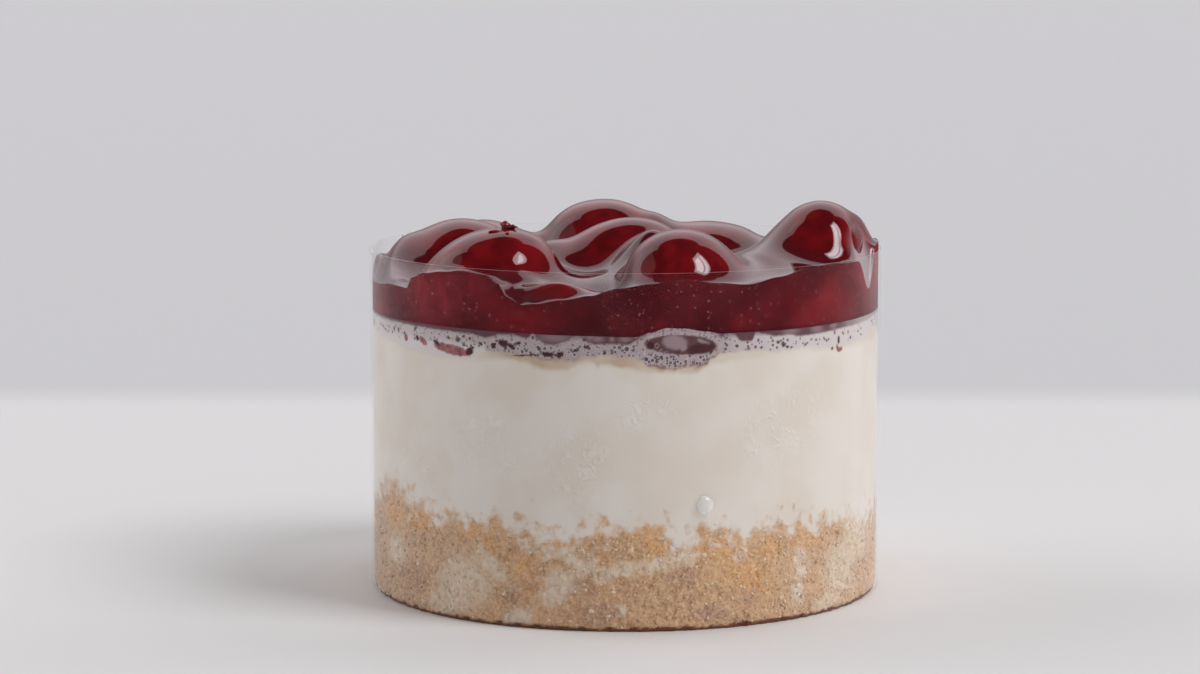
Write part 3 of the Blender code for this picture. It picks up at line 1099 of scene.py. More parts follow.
CHERRIES = (
    Cherry("cherry_front_left", (-19.5, -20.2), (9.4, 7.7, 6.1), 12.0, 13.0),
    Cherry("cherry_front", (7.8, -24.8), (7.9, 7.3, 6.3), 20.0, 0.0),
    Cherry("cherry_right", (28.6, -8.5), (7.1, 7.8, 7.6), 0.0, 0.0),
    Cherry("cherry_centre", (-0.4, -6.6), (9.4, 6.9, 6.2), 8.0, 10.0),
    Cherry("cherry_left", (-24.6, 1.6), (8.4, 8.0, 5.8), 0.0, 4.0),
    Cherry("cherry_back", (-3.2, 16.6), (9.1, 8.2, 6.6), -8.0, 0.0),
    Cherry("cherry_back_right", (13.2, 15.8), (7.0, 7.8, 4.9), 0.0, -4.0),
    Cherry("cherry_far_right", (28.4, 8.8), (6.6, 7.0, 4.9), -15.0, 0.0),
    Cherry("cherry_far_left", (-22.2, 18.4), (7.3, 7.6, 4.9), 30.0, 0.0),
    Cherry("cherry_rear", (3.6, 30.0), (7.0, 6.2, 4.6), 0.0, 0.0),
)

# Soft swells of jelly with no cherry under them: x, y, rise, half sizes, yaw
SWELLS = (
    (3.8, -14.8, 6.0, 5.2, 3.4, 35.0),
    (-33.0, 2.0, 2.4, 3.2, 6.0, 0.0),
    (20.6, -14.0, 3.6, 8.5, 10.0, -5.0),
    (15.0, -4.0, 0.6, 6.5, 6.0, 0.0),
    (-10.0, -33.5, 1.2, 6.0, 2.4, 15.0),
    (-3.5, -28.0, -2.2, 6.0, 5.5, 15.0),
    (-30.5, -14.0, -1.8, 3.0, 5.0, 20.0),
    (-11.5, -5.0, 3.4, 4.5, 6.0, 0.0),
    (35.4, -4.6, 6.3, 5.6, 6.0, 0.0),
    (22.2, -6.5, 1.1, 2.8, 4.6, 0.0),
    (5.0, 16.0, 4.0, 3.2, 6.0, 0.0),
    (18.6, 14.5, 1.6, 4.0, 6.0, 0.0),
    (-15.4, -29.0, 0.5, 3.4, 1.5, 12.0),
)


# Red painted into the jelly's top where no cherry breaks it: x, y, z and reach. The first stands for
# fruit under the swell at the left; the second is a painted glow, light through the thin jelly near the
# front.
FRUIT_AND_GLOW_SPOTS = ((-34.0, 1.0, 49.0, 5.0), (-9.0, -34.0, 47.5, 6.0))

# Redder glows on the jelly's side: azimuth, height, half width in degrees, half height, strength
EMBERS = (
    (50.0, 45.0, 12.0, 4.5, 0.50), (33.0, 45.5, 7.0, 3.0, 0.10), (24.7, 43.4, 2.4, 1.3, 0.36),
    (19.0, 45.6, 2.0, 1.6, 0.15), (7.3, 43.5, 1.2, 0.6, 0.30), (-3.6, 44.6, 1.4, 0.9, 0.18),
    (-23.0, 44.6, 8.0, 3.4, 0.42), (-33.0, 46.8, 5.0, 2.2, 0.20), (128.0, 45.0, 14.0, 4.0, 0.5),
    (176.0, 45.5, 11.0, 4.0, 0.5), (226.0, 45.0, 12.0, 4.0, 0.5),
)

# Pinches where the jelly has drawn back from the film: azimuth, half width, depth
NOTCHES = ((70.0, 7.0, 4.9),)


@dataclass
class CherryTopping:
    """The cherries as cooked flesh inside the jelly."""

    cherries: tuple[Cherry, ...] = CHERRIES
    inset: float = 0.45 * MM
    columns: int = 40
    rows: int = 24
    dent: float = 0.10
    dent_spread: float = 0.42
    wrinkle: float = 0.12 * MM
    wrinkle_size: float = 2.2 * MM
    finish: CherryFinish = field(default_factory=CherryFinish)

    def shape(self, cherry: Cherry) -> tuple[np.ndarray, list[tuple[int, ...]]]:
        """Points and faces of one cherry: dented at its stem end and finely wrinkled.

        Args:
            cherry: The cherry.

        Returns:
            Its points in metres and its faces.
        """
        way, faces = ball(self.columns, self.rows)
        stem = np.array((1.0, 0.0, -0.2)) / math.hypot(1.0, 0.2)
        apart = np.arccos(np.clip(way @ stem, -1.0, 1.0))
        shaped = way * (1.0 - self.dent * np.exp(-((apart / self.dent_spread) ** 2)))[:, None]
        points = (shaped * (np.array(cherry.half) * MM - self.inset)) @ cherry.axes + cherry.centre
        rough = noise_at(points, self.wrinkle_size, seed=cherry.yaw)
        points += way @ cherry.axes * (rough * self.wrinkle)[:, None]
        return points, faces

    def build(self, effects: Effects) -> None:
        """Make and dress every cherry.

        Args:
            effects: The shader node groups that the finishes share.
        """
        material = self.finish.make(effects)
        for cherry in self.cherries:
            points, faces = self.shape(cherry)
            piece = add_piece(f"{cherry.name}_flesh", points, faces, material)
            settle(piece, Slot.CHERRY, cherry.name)


@dataclass
class JellyLayer:
    """Wavy jelly that drapes over the cherries and clings to the film."""

    cherries: tuple[Cherry, ...] = CHERRIES
    level: float = 48.4 * MM
    fillet: float = 5.4 * MM
    wall_reach: float = 1.8 * MM
    notch_reach: float = 1.3 * MM
    columns: int = 720
    inner_step: float = 0.42 * MM
    outer_step: float = 0.26 * MM
    side_rows: int = 12
    ripple: float = 0.07 * MM
    ripple_size: float = 4.5 * MM
    start: float = 60.0 * MM
    passes: int = 60
    ease: float = 0.8
    flesh_depth: tuple[float, float] = (0.1 * MM, 2.4 * MM)
    glow_depth: tuple[float, float] = (0.5 * MM, 6.5 * MM)
    patch_size: float = 5.0 * MM
    left_glow_from: tuple[float, float] = (-48.0, -80.0)
    left_glow_to: float = -100.0
    smear_depth: float = 2.4 * MM
    finish: JellyFinish = field(default_factory=JellyFinish)
    side_finish: JellySideFinish = field(default_factory=JellySideFinish)

    def swells(self, x: np.ndarray, y: np.ndarray) -> np.ndarray:
        """Rise of the level from the soft swells.

        Args:
            x: Positions across, in metres.
            y: Positions front to back, in metres.

        Returns:
            Rises in metres.
        """
        total = np.zeros_like(x)
        for place_x, place_y, rise, wide, deep, turn in SWELLS:
            angle = math.radians(turn)
            dx, dy = x - place_x * MM, y - place_y * MM
            along = dx * math.cos(angle) + dy * math.sin(angle)
            aside = dy * math.cos(angle) - dx * math.sin(angle)
            spread = (along / (wide * MM)) ** 2 + (aside / (deep * MM)) ** 2
            total += rise * MM * np.exp(-spread)
        return total

    def blend(self, first: np.ndarray, second: np.ndarray) -> np.ndarray:
        """Smooth union of two distances over the fillet."""
        near = np.maximum(self.fillet - np.abs(first - second), 0.0) / self.fillet
        return np.minimum(first, second) - near * near * self.fillet / 4.0

    def heights(self, x: np.ndarray, y: np.ndarray) -> np.ndarray:
        """Top of the jelly over points, by lowering them until they touch it.

        Args:
            x: Positions across, in metres.
            y: Positions front to back, in metres.

        Returns:
            Heights in metres.
        """
        level = self.level + self.swells(x, y)
        height = np.full_like(x, self.start)
        for _ in range(self.passes):
            points = np.stack((x, y, height), axis=1)
            distance = height - level
            for cherry in self.cherries:
                distance = self.blend(distance, cherry.distance(points))
            height = height - self.ease * distance
        out = np.hypot(x, y)
        azimuth = azimuth_of(x, y)
        weight = np.exp(-(((RING.cake - out) / self.wall_reach) ** 2))
        height = height + (JELLY_EDGE.at(azimuth) - height) * weight
        return height - self.notch(azimuth) * np.exp(-(((RING.cake - out) / self.notch_reach) ** 2))

    def notch(self, azimuth: np.ndarray) -> np.ndarray:
        """Depth of the pinches at the film, in metres.

        Args:
            azimuth: Azimuths in degrees.

        Returns:
            Depths in metres.
        """
        total = np.zeros_like(azimuth)
        for middle, half, depth in NOTCHES:
            aside = np.abs(turned_from(azimuth, middle))
            total += depth * MM * (1.0 - smooth_step(0.0, half, aside))
        return total

    def embers(self, azimuth: np.ndarray, height: np.ndarray) -> np.ndarray:
        """Strength of the redder glows on the side, from 0 to 1.

        Args:
            azimuth: Azimuths in degrees.
            height: Heights in metres.

        Returns:
            Strengths from 0 to 1.
        """
        total = np.zeros_like(azimuth)
        for middle, level, half, tall, strength in EMBERS:
            aside = turned_from(azimuth, middle) / half
            away = aside**2 + ((height / MM - level) / tall) ** 2
            total += strength * np.exp(-away)
        return np.clip(total, 0.0, 1.0)

    def nearest(self, points: np.ndarray) -> np.ndarray:
        """Distance from points to the nearest cherry, in metres."""
        return np.min([cherry.distance(points) for cherry in self.cherries], axis=0)

    def ring_radii(self) -> np.ndarray:
        """Radii of the top's rings, closer together towards the film.

        Returns:
            Radii in metres, from the film inwards.
        """
        radii = [RING.cake]
        while radii[-1] > 2.0 * self.inner_step:
            share = radii[-1] / RING.cake
            radii.append(radii[-1] - (self.inner_step + (self.outer_step - self.inner_step) * share))
        return np.array(radii)

    def shape(self) -> tuple[np.ndarray, list[tuple[int, ...]]]:
        """Points and faces: the side from the froth up, then the top in rings to its middle.

        Returns:
            The points in metres and the faces.
        """
        azimuth = ring_azimuths(self.columns)
        foot = FROTH_CREST.at(azimuth)
        edge = JELLY_EDGE.at(azimuth) - self.notch(azimuth)
        side = [
            rim_points(azimuth, RING.cake, foot + (edge - foot) * row / self.side_rows)
            for row in range(self.side_rows)
        ]
        radii = self.ring_radii()
        flat = rim_points(azimuth[None, :], radii[:, None], 0.0).reshape(-1, 3)
        flat = np.vstack((flat, (0.0, 0.0, 0.0)))
        ripples = (noise_at(flat, self.ripple_size, seed=4.0) + 0.6) * self.ripple
        flat[:, 2] = self.heights(flat[:, 0], flat[:, 1]) - ripples * (1.0 - near_wall(flat))
        points = np.vstack((*side, flat))
        rows = self.side_rows + len(radii)
        faces = ring_faces(self.columns, rows)
        last, middle = (rows - 1) * self.columns, len(points) - 1
        faces += [(last + k, last + (k + 1) % self.columns, middle) for k in range(self.columns)]
        faces.append(tuple(range(self.columns))[::-1])
        return points, faces

    def store_tones(self, piece: bpy.types.Object, points: np.ndarray) -> None:
        """Store where fruit shows or painted glow reddens the top, where the side glows and is painted
        brighter at its left end, and where the film is smeared.

        Args:
            piece: The jelly's object.
            points: Its points.
        """
        near = self.nearest(points)
        flesh = 1.0 - smooth_step(*self.flesh_depth, near)
        # Spots of painted fruit colour and painted glow
        for *middle, reach in FRUIT_AND_GLOW_SPOTS:
            away = np.linalg.norm(points - np.array(middle) * MM, axis=1)
            flesh = np.maximum(flesh, 1.0 - smooth_step(0.3 * reach * MM, reach * MM, away))
        add_value(piece, "flesh", flesh)
        add_value(piece, "glow", 1.0 - smooth_step(*self.glow_depth, near))
        around = azimuth_of(points[:, 0], points[:, 1])
        patchy = 0.5 + 0.9 * noise_at(points, self.patch_size, seed=15.0)
        # Painted light at the left end of the side, with random patches elsewhere
        left_end = smooth_step(*self.left_glow_from, around) * (around > self.left_glow_to)
        add_value(piece, "left_glow_and_patches", np.clip(0.50 * left_end + 0.16 * patchy - 0.05, 0.0, 1.0))
        add_value(piece, "ember", self.embers(around, points[:, 2]) * (0.45 + 0.8 * patchy))
        drawn = self.notch(around) / self.smear_depth * near_wall(points)
        add_value(piece, "smear", np.clip(drawn, 0.0, 1.0) * 0.9)

    def build(self, effects: Effects) -> None:
        """Make the jelly as one closed piece and dress it.

        Args:
            effects: The shader node groups that the finishes share.
        """
        points, faces = self.shape()
        finishes = (self.finish.make(effects), self.side_finish.make(effects))
        piece = add_piece("jelly_drape", points, faces, *finishes)
        self.store_tones(piece, points)
        side_faces = self.columns * self.side_rows
        finish_of = [int(k < side_faces) for k in range(len(faces))]
        piece.data.polygons.foreach_set("material_index", finish_of)
        settle(piece, Slot.JELLY, "cherry_jelly")


# Small things that lie on the cake


@dataclass(frozen=True)
class Bit:
    """A small rounded lump: its place and half sizes in millimetres, its yaw and roughness."""

    place: tuple[float, float, float]
    half: tuple[float, float, float]
    yaw: float
    rough: float
    flat_back: bool = False

    def points(self, way: np.ndarray) -> np.ndarray:
        """The lump's points for the directions of a unit ball.

        Args:
            way: Directions of the ball's points, one row each.

        Returns:
            Points in metres, one row each.
        """
        turn = math.radians(self.yaw)
        axes = np.array(
            ((math.cos(turn), math.sin(turn), 0.0), (-math.sin(turn), math.cos(turn), 0.0), (0, 0, 1))
        )
        swell = 1.0 + self.rough * noise_at(way + np.array(self.place), 0.7, seed=1.0)
        local = way * swell[:, None] * self.half
        if self.flat_back:
            local[:, 1] = np.minimum(local[:, 1], 0.0)
        return (local @ axes + self.place) * MM


@dataclass(frozen=True)
class DropFinish:
    """Clear water: see-through with a pale gleam lit partly by a painted glow, and a mirror that grows
    edge-on.
    """

    shade: Colour = (0.93, 0.915, 0.90)
    gleam: Colour = (0.90, 0.86, 0.84)
    gleam_share: float = 0.34
    glow: float = 0.15

    def make(self) -> bpy.types.Material:
        """Build the material.

        Returns:
            The new material.
        """
        made, wiring, shader = new_material("Water")
        clear = wiring.node("ShaderNodeBsdfTransparent")
        facing = wiring.node("ShaderNodeLayerWeight")
        facing.inputs["Blend"].default_value = 0.5
        rim = wiring.math("POWER", facing.outputs["Facing"], 2.5)
        wiring.feed(clear.inputs["Color"], wiring.mix(rim, (1.0, 1.0, 1.0), self.shade))
        shader.inputs["Base Color"].default_value = (*self.gleam, 1.0)
        # Painted light: the drop's body glows faintly in the gleam colour, though it is no lamp
        shader.inputs["Emission Color"].default_value = (*self.gleam, 1.0)
        shader.inputs["Emission Strength"].default_value = self.glow
        shader.inputs["Specular IOR Level"].default_value = 0.0
        body = wiring.node("ShaderNodeMixShader")
        body.inputs[0].default_value = self.gleam_share
        wiring.feed(body.inputs[1], clear.outputs[0])
        wiring.feed(body.inputs[2], shader.outputs[0])
        gloss = wiring.node("ShaderNodeBsdfGlossy")
        gloss.inputs["Roughness"].default_value = 0.06
        both = wiring.node("ShaderNodeMixShader")
        wiring.feed(both.inputs[0], wiring.math("MULTIPLY_ADD", rim, 0.08, 0.05))
        wiring.feed(both.inputs[1], body.outputs[0])
        wiring.feed(both.inputs[2], gloss.outputs[0])
        wiring.feed(made.node_tree.nodes["Material Output"].inputs["Surface"], both.outputs[0])
        return made


@dataclass
class Trimmings:
    """Shreds of fruit on the front left cherry and a drop of water on the film."""

    shreds: tuple[Bit, ...] = (
        Bit((-17.2, -20.6, 55.75), (0.85, 0.75, 0.60), 10.0, 0.5),
        Bit((-16.3, -20.5, 55.65), (0.60, 0.45, 0.32), -25.0, 0.5),
        Bit((-18.7, -22.2, 55.15), (1.10, 0.40, 0.28), 12.0, 0.3),
        Bit((-17.0, -23.0, 54.95), (0.32, 0.28, 0.20), 0.0, 0.3),
    )
    drops: tuple[Bit, ...] = (Bit((11.0, -36.48, 17.95), (1.20, 0.75, 1.35), 16.8, 0.0, True),)
    columns: int = 24
    rows: int = 14
    fruit: CherryFinish = field(default_factory=CherryFinish)
    water: DropFinish = field(default_factory=DropFinish)

    def add(self, name: str, bits: tuple[Bit, ...], material: bpy.types.Material, slot: Slot) -> None:
        """Make one piece of all the bits of a kind.

        Args:
            name: Name of the piece.
            bits: The lumps that it is made of.
            material: Their material.
            slot: Material slot of the record.
        """
        way, faces = ball(self.columns, self.rows)
        points = np.vstack([bit.points(way) for bit in bits])
        count = len(way)
        every = [tuple(k * count + i for i in face) for k in range(len(bits)) for face in faces]
        settle(add_piece(name, points, every, material), slot)

    def build(self, effects: Effects) -> None:
        """Make the shreds and the drop."""
        self.add("fruit_shreds", self.shreds, self.fruit.make(effects), Slot.CHERRY)
        self.add("water_drop", self.drops, self.water.make(), Slot.FILM)


# Marks on the cake's side


@dataclass(frozen=True)
class Spot:
    """An oval mark on the cake's side: azimuth, height, half sizes in mm and lean."""

    azimuth: float
    height: float
    wide: float
    tall: float
    lean: float = 0.0

    def amount(self, azimuth: np.ndarray, height: np.ndarray, soft: float = 0.18) -> np.ndarray:
        """1 inside the oval and 0 outside.

        Args:
            azimuth: Azimuths in degrees.
            height: Heights in metres.
            soft: Share of the oval's size over which its edge fades.

        Returns:
            Amounts from 0 to 1.
        """
        along = np.radians(turned_from(azimuth, self.azimuth)) * RING.cake / MM
        up = height / MM - self.height
        lean = math.radians(self.lean)
        a = (along * math.cos(lean) + up * math.sin(lean)) / self.wide
        b = (up * math.cos(lean) - along * math.sin(lean)) / self.tall
        return 1.0 - smooth_step(1.0 - soft, 1.0 + soft, np.hypot(a, b))


def ovals(*rows: tuple[float, ...]) -> tuple[Spot, ...]:
    """Oval marks from rows of azimuth, height, half sizes and, for some, lean."""
    return tuple(Spot(*row) for row in rows)


def most(
    spots: tuple[Spot, ...], azimuth: np.ndarray, height: np.ndarray, soft: float
) -> np.ndarray:
    """The largest amount that any of the spots gives.

    Args:
        spots: The oval marks.
        azimuth: Azimuths in degrees.
        height: Heights in metres.
        soft: Share of each oval's size over which its edge fades.

    Returns:
        Amounts from 0 to 1.
    """
    total = np.zeros_like(height)
    for spot in spots:
        total = np.maximum(total, spot.amount(azimuth, height, soft))
    return total


CREAM_PATCHES = ovals(
    (-38.5, 5.6, 5.0, 3.8, 8.0), (-31.0, 8.8, 3.6, 1.2, -45.0), (-42.5, 2.4, 4.0, 1.8),
    (-63.4, 8.2, 3.2, 2.2), (-15.8, 11.2, 3.0, 1.1, -8.0), (-10.5, 9.8, 3.0, 1.3, -28.0),
    (-5.2, 8.4, 1.6, 1.3, -45.0), (-0.6, 8.9, 2.6, 0.9, 8.0), (6.8, 9.8, 3.2, 1.0, 8.0),
    (13.2, 10.6, 1.5, 1.3, 20.0), (-14.0, 6.9, 2.6, 1.4, -20.0), (-16.0, 4.8, 1.6, 1.5),
    (41.4, 8.3, 1.4, 2.4, 10.0), (40.8, 3.9, 1.4, 1.6), (50.5, 1.6, 3.0, 1.2),
    (-1.5, 3.2, 0.9, 0.8), (-24.0, 1.6, 2.2, 1.0), (56.0, 6.0, 4.5, 4.0), (64.0, 10.0, 4.0, 3.5),
    (95.0, 7.0, 4.6, 3.2), (118.0, 9.8, 3.8, 1.2, -20.0), (139.0, 5.0, 3.0, 2.6),
    (163.0, 8.8, 4.4, 1.6, 12.0), (184.0, 4.4, 2.2, 1.8), (206.0, 9.6, 3.6, 1.4, -14.0),
    (231.0, 6.2, 4.2, 2.8), (256.0, 9.4, 3.4, 1.8, 18.0),
)

RUST_PATCHES = ovals(
    (21.5, 11.3, 5.0, 1.6, -4.0), (32.9, 11.2, 1.6, 2.0, -10.0), (-5.2, 14.5, 2.4, 1.2),
    (3.0, 14.8, 2.2, 0.9), (5.8, 12.6, 1.8, 1.5, -30.0), (-16.0, 13.0, 3.2, 0.9, 6.0),
    (-34.0, 12.6, 3.2, 1.5, -8.0), (-65.0, 13.2, 3.6, 2.2), (-51.0, 13.4, 3.0, 1.3),
    (44.0, 11.4, 3.4, 1.2), (27.0, 7.4, 4.0, 2.0, -30.0), (-23.0, 9.3, 0.8, 2.0, -10.0),
    (104.0, 11.4, 4.5, 1.6), (150.0, 12.0, 4.0, 1.4, 8.0), (196.0, 12.6, 4.4, 1.6),
    (242.0, 11.6, 4.0, 1.5, -8.0),
)

MAUVE_PATCHES = ovals(
    (-10.0, 6.4, 2.6, 1.6), (11.6, 7.6, 2.2, 1.6), (28.5, 4.4, 1.6, 1.2), (-26.0, 5.4, 1.2, 2.0),
    (-6.0, 2.6, 3.0, 1.4), (-56.0, 4.6, 4.0, 2.0), (18.0, 2.4, 3.0, 1.0), (128.0, 3.4, 4.0, 1.6),
    (176.0, 8.2, 3.0, 1.6), (220.0, 2.8, 4.2, 1.6),
)


def store_crumb(piece: bpy.types.Object, azimuth: np.ndarray, height: np.ndarray) -> None:
    """Store where crumb gives way to cream, where it is rusty or mauve, and where shadow is painted
    along its foot.

    Args:
        piece: A mesh on the cake's side.
        azimuth: Azimuth of each of its points, in degrees.
        height: Height of each of its points, in metres.
    """
    places = rim_points(azimuth, RING.cake, height)
    wobble = noise_at(places, 1.3 * MM, seed=9.0) * 1.1 * MM
    jagged = noise_at(places, 0.6 * MM, seed=6.0) * 0.5 * MM
    around = azimuth + np.degrees((wobble + jagged) / RING.cake)
    up = height + wobble - jagged
    ragged = 0.42 * MM + 0.40 * MM * noise_at(places, 1.1 * MM, seed=5.0)
    add_value(piece, "above", (height - CRUMB_EDGE.at(azimuth)) / MM)
    add_value(piece, "patch", most(CREAM_PATCHES, around, up, 0.5) * 0.9)
    add_value(piece, "rust", most(RUST_PATCHES, around, up, 0.6) * 0.75)
    add_value(piece, "mauve", most(MAUVE_PATCHES, around, up, 0.5) * 0.6)
    aside = np.abs(turned_from(azimuth, 0.0))
    add_value(piece, "dull", 0.30 * smooth_step(22.0, 54.0, aside))
    # Painted shadow in a thin ragged band at the floor
    add_value(piece, "foot", 1.0 - smooth_step(0.0, 0.25 * MM, height - ragged))


# The cream


@dataclass
class CreamLayer:
    """Cream filling with its frothy edge against the film."""

    columns: int = 1280
    fine_from: float = 36.4 * MM
    fine_step: float = 0.17 * MM
    coarse_step: float = 1.3 * MM
    roof_inset: float = 3.0 * MM
    finish: CreamFinish = field(default_factory=CreamFinish)

    oval: Spot = Spot(11.6, 40.72, 5.1, 1.38, -3.0)
    hazes: tuple[Spot, ...] = ovals(
        (10.2, 41.1, 1.75, 1.0, -8.0), (12.1, 40.3, 0.55, 0.45), (16.6, 40.95, 1.0, 0.35, -25.0),
    )
    smudges: tuple[Spot, ...] = ovals(
        (-15.6, 41.7, 2.2, 0.7), (-6.2, 41.6, 0.8, 0.45), (-3.2, 41.55, 0.35, 0.35),
        (-0.4, 41.6, 0.8, 0.4), (2.2, 42.0, 0.5, 0.3, 20.0), (-7.8, 42.0, 0.7, 0.6),
        (46.0, 41.6, 1.2, 0.6, -10.0), (52.0, 41.8, 0.8, 0.6), (38.0, 41.7, 1.4, 0.5),
        (59.0, 41.8, 1.2, 0.6),
    )
    rings: tuple[Spot, ...] = ovals(
        (6.3, 40.65, 0.34, 0.34), (7.2, 39.95, 0.24, 0.24), (5.3, 39.6, 0.20, 0.20),
        (8.4, 39.75, 0.22, 0.22), (-20.5, 41.55, 0.34, 0.42), (2.6, 41.9, 0.22, 0.22),
    )
    dark: tuple[Spot, ...] = ovals(
        (16.2, 40.1, 2.1, 0.75, 4.0), (5.0, 40.7, 0.6, 0.5), (-8.7, 40.42, 0.36, 0.24, -12.0),
        (-10.7, 39.9, 0.24, 0.18), (-11.9, 39.97, 0.20, 0.16), (-4.8, 39.87, 0.20, 0.17),
        (-3.2, 39.95, 0.26, 0.16, -20.0), (-0.9, 40.04, 0.22, 0.16), (1.3, 40.04, 0.22, 0.17),
        (-9.2, 41.45, 0.20, 0.26, 20.0), (4.2, 41.4, 0.14, 0.22, -20.0),
        (-39.4, 40.44, 0.42, 0.34, -10.0), (-53.4, 41.2, 0.30, 0.30), (-36.0, 40.8, 0.22, 0.24),
        (-42.0, 40.55, 0.26, 0.20), (-37.9, 41.0, 0.18, 0.22, -30.0),
        (-33.2, 40.2, 0.34, 0.24, -15.0), (-35.2, 39.5, 0.28, 0.18), (-63.0, 40.5, 0.26, 0.36),
        (-60.7, 40.5, 0.26, 0.40), (-57.8, 40.2, 0.30, 0.30), (59.2, 39.5, 0.30, 0.24),
        (44.2, 40.2, 0.20, 0.15, -20.0), (45.8, 40.05, 0.22, 0.17), (47.0, 40.05, 0.15, 0.13),
        (48.7, 39.95, 0.20, 0.16, -30.0), (50.1, 39.88, 0.20, 0.18), (21.5, 39.9, 0.26, 0.16),
        (24.1, 40.3, 0.24, 0.17), (30.2, 39.85, 0.26, 0.15, 10.0), (29.4, 40.85, 0.16, 0.24),
        (34.5, 40.35, 0.30, 0.24, -20.0), (36.0, 39.95, 0.44, 0.34, -35.0),
        (37.2, 39.55, 0.22, 0.18), (35.3, 40.5, 0.16, 0.16),
    )
    wine: tuple[Spot, ...] = ovals(
        (-27.4, 40.5, 0.85, 0.42, -6.0), (-25.5, 40.15, 0.62, 0.36, -30.0),
        (-29.9, 40.12, 0.40, 0.34, -20.0), (-23.8, 40.65, 0.42, 0.22, 5.0),
        (-17.2, 39.25, 0.85, 0.36, -4.0), (-14.4, 39.3, 0.60, 0.36, 20.0),
        (-22.6, 38.95, 1.6, 0.13, 3.0), (-20.0, 39.05, 0.7, 0.12, -6.0),
        (-45.9, 39.7, 0.75, 0.30, -25.0), (-36.1, 38.95, 0.70, 0.55, 30.0),
        (-52.6, 39.9, 0.45, 0.35, -30.0), (54.0, 39.5, 0.30, 0.62), (51.5, 38.4, 0.24, 0.24),
    )
    fruit: tuple[Spot, ...] = ovals(
        (-41.4, 38.95, 3.5, 0.70, -6.0), (-50.4, 39.6, 1.0, 0.46, -28.0), (-57.2, 39.6, 0.50, 0.55),
        (54.4, 38.1, 0.78, 0.36), (53.4, 38.5, 0.24, 0.34, 20.0), (55.6, 40.5, 0.16, 0.30),
        (58.0, 40.4, 0.18, 0.26),
    )
    creases: tuple[Spot, ...] = ovals(
        (-11.0, 24.0, 4.6, 5.0, 20.0), (-31.0, 26.5, 6.5, 4.5, -25.0), (36.0, 28.5, 7.0, 4.0, 20.0),
        (4.0, 31.0, 4.0, 2.0), (-52.0, 22.0, 5.0, 5.0),
    )
    fruit_count_behind: int = 16
    cling_size: float = 8.0 * MM
    cling_from: tuple[float, float] = (70.0, 100.0)
    hood: tuple[float, ...] = (3.5, 5.0, 18.5, 21.0)
    thin_lobes: tuple[float, ...] = (52.0, 66.0, 90.0, 104.0)
    stained_front: tuple[float, ...] = (-34.0, -24.0, 10.0, 24.0)
    wobble: float = 0.25 * MM
    wobble_size: float = 1.1 * MM
    fine: float = 0.18 * MM
    fine_size: float = 0.45 * MM
    lobe_soft: float = 0.14 * MM
    hang: tuple[float, float] = (0.80 * MM, 0.10 * MM)
    rind_place: float = -0.06
    rind_half: float = 0.24
    foam_depth: float = 1.9 * MM
    crowd_from: tuple[float, float] = (39.2 * MM, 40.6 * MM)

    def rows(self, foot: np.ndarray) -> list[np.ndarray]:
        """Heights of the wall's rings, fine in the froth.

        Args:
            foot: Height of the lowest ring at each column.

        Returns:
            One array of heights for each ring.
        """
        crest = FROTH_CREST.at(ring_azimuths(self.columns))
        coarse = int((self.fine_from - foot.min()) / self.coarse_step)
        fine = int((crest.max() - self.fine_from) / self.fine_step)
        rings = [foot + (self.fine_from - foot) * k / coarse for k in range(coarse)]
        rings += [self.fine_from + (crest - self.fine_from) * k / fine for k in range(fine + 1)]
        return rings

    def froth(self, piece: bpy.types.Object, points: np.ndarray) -> None:
        """Store where foam, stain, hanging jelly and fruit show.

        Args:
            piece: The cream's object.
            points: Its points.
        """
        azimuth = azimuth_of(points[:, 0], points[:, 1])
        height = points[:, 2]
        wobble = noise_at(points, self.wobble_size, seed=7.0) * self.wobble
        fine = noise_at(points, self.fine_size, seed=3.0) * self.fine
        top = FOAM_TOP.at(azimuth)
        low = FOAM_LOW.at(azimuth)
        stain = STAIN_LOW.at(azimuth)
        crest = FROTH_CREST.at(azimuth)
        crowd = FOAM_CROWD.at(azimuth) / (1000.0 * MM)
        upper = smooth_step(*self.crowd_from, height + wobble)
        crowd = crowd * np.where(azimuth < -32.0, upper, 1.0)
        foam = smooth_step(-1.6 * MM, 0.5 * MM, height + wobble + fine - low)
        soft = 1.5 * self.lobe_soft
        lobe = smooth_step(-soft, soft, height + 0.6 * fine - top)
        hang = 0.55 * smooth_step(*self.hang, crest - height + fine)
        inside = self.oval.amount(azimuth, height + 0.6 * fine, 0.07)
        hood = stretch(azimuth, *self.hood)
        ring = most(self.rings, azimuth, height, 0.35)
        hole = most(tuple(self.shrunk(spot) for spot in self.rings), azimuth, height, 0.5)
        ring = ring * (1.0 - hole)
        thin = (1.0 - 0.8 * hood) * (1.0 - 0.5 * stretch(azimuth, *self.thin_lobes))
        lobe = np.maximum(np.maximum(lobe, hang) * thin, inside) * (1.0 - 0.7 * ring)
        haze = most(self.hazes, azimuth, height + fine, 0.25)
        haze = np.maximum(haze, 0.7 * most(self.smudges, azimuth, height + fine, 0.8)) * lobe
        below = (height + wobble - low) / MM
        rind = np.exp(-(((below - self.rind_place) / self.rind_half) ** 2))
        rind = rind * smooth_step(-0.2, 0.4, fine / self.fine + 0.25)
        rind = rind * np.maximum(hood, 0.35 * smooth_step(-25.0, -20.0, azimuth) * (azimuth < -10.0))
        stained = smooth_step(-0.5 * MM, 0.5 * MM, height + wobble - stain)
        tint = noise_at(points, 2.6 * MM, seed=13.0)
        near_front = 0.25 + 0.75 * stretch(azimuth, *self.stained_front)
        edge = low + self.foam_depth
        dotted = smooth_step(-0.25, 0.25, below) * smooth_step(0.0, 0.3 * MM, edge - height + fine)
        wine = np.maximum(most(self.wine, azimuth, height + 0.8 * fine, 0.25), 0.85 * hole)
        shown = most(self.dark, azimuth, height + 0.3 * fine, 0.35)
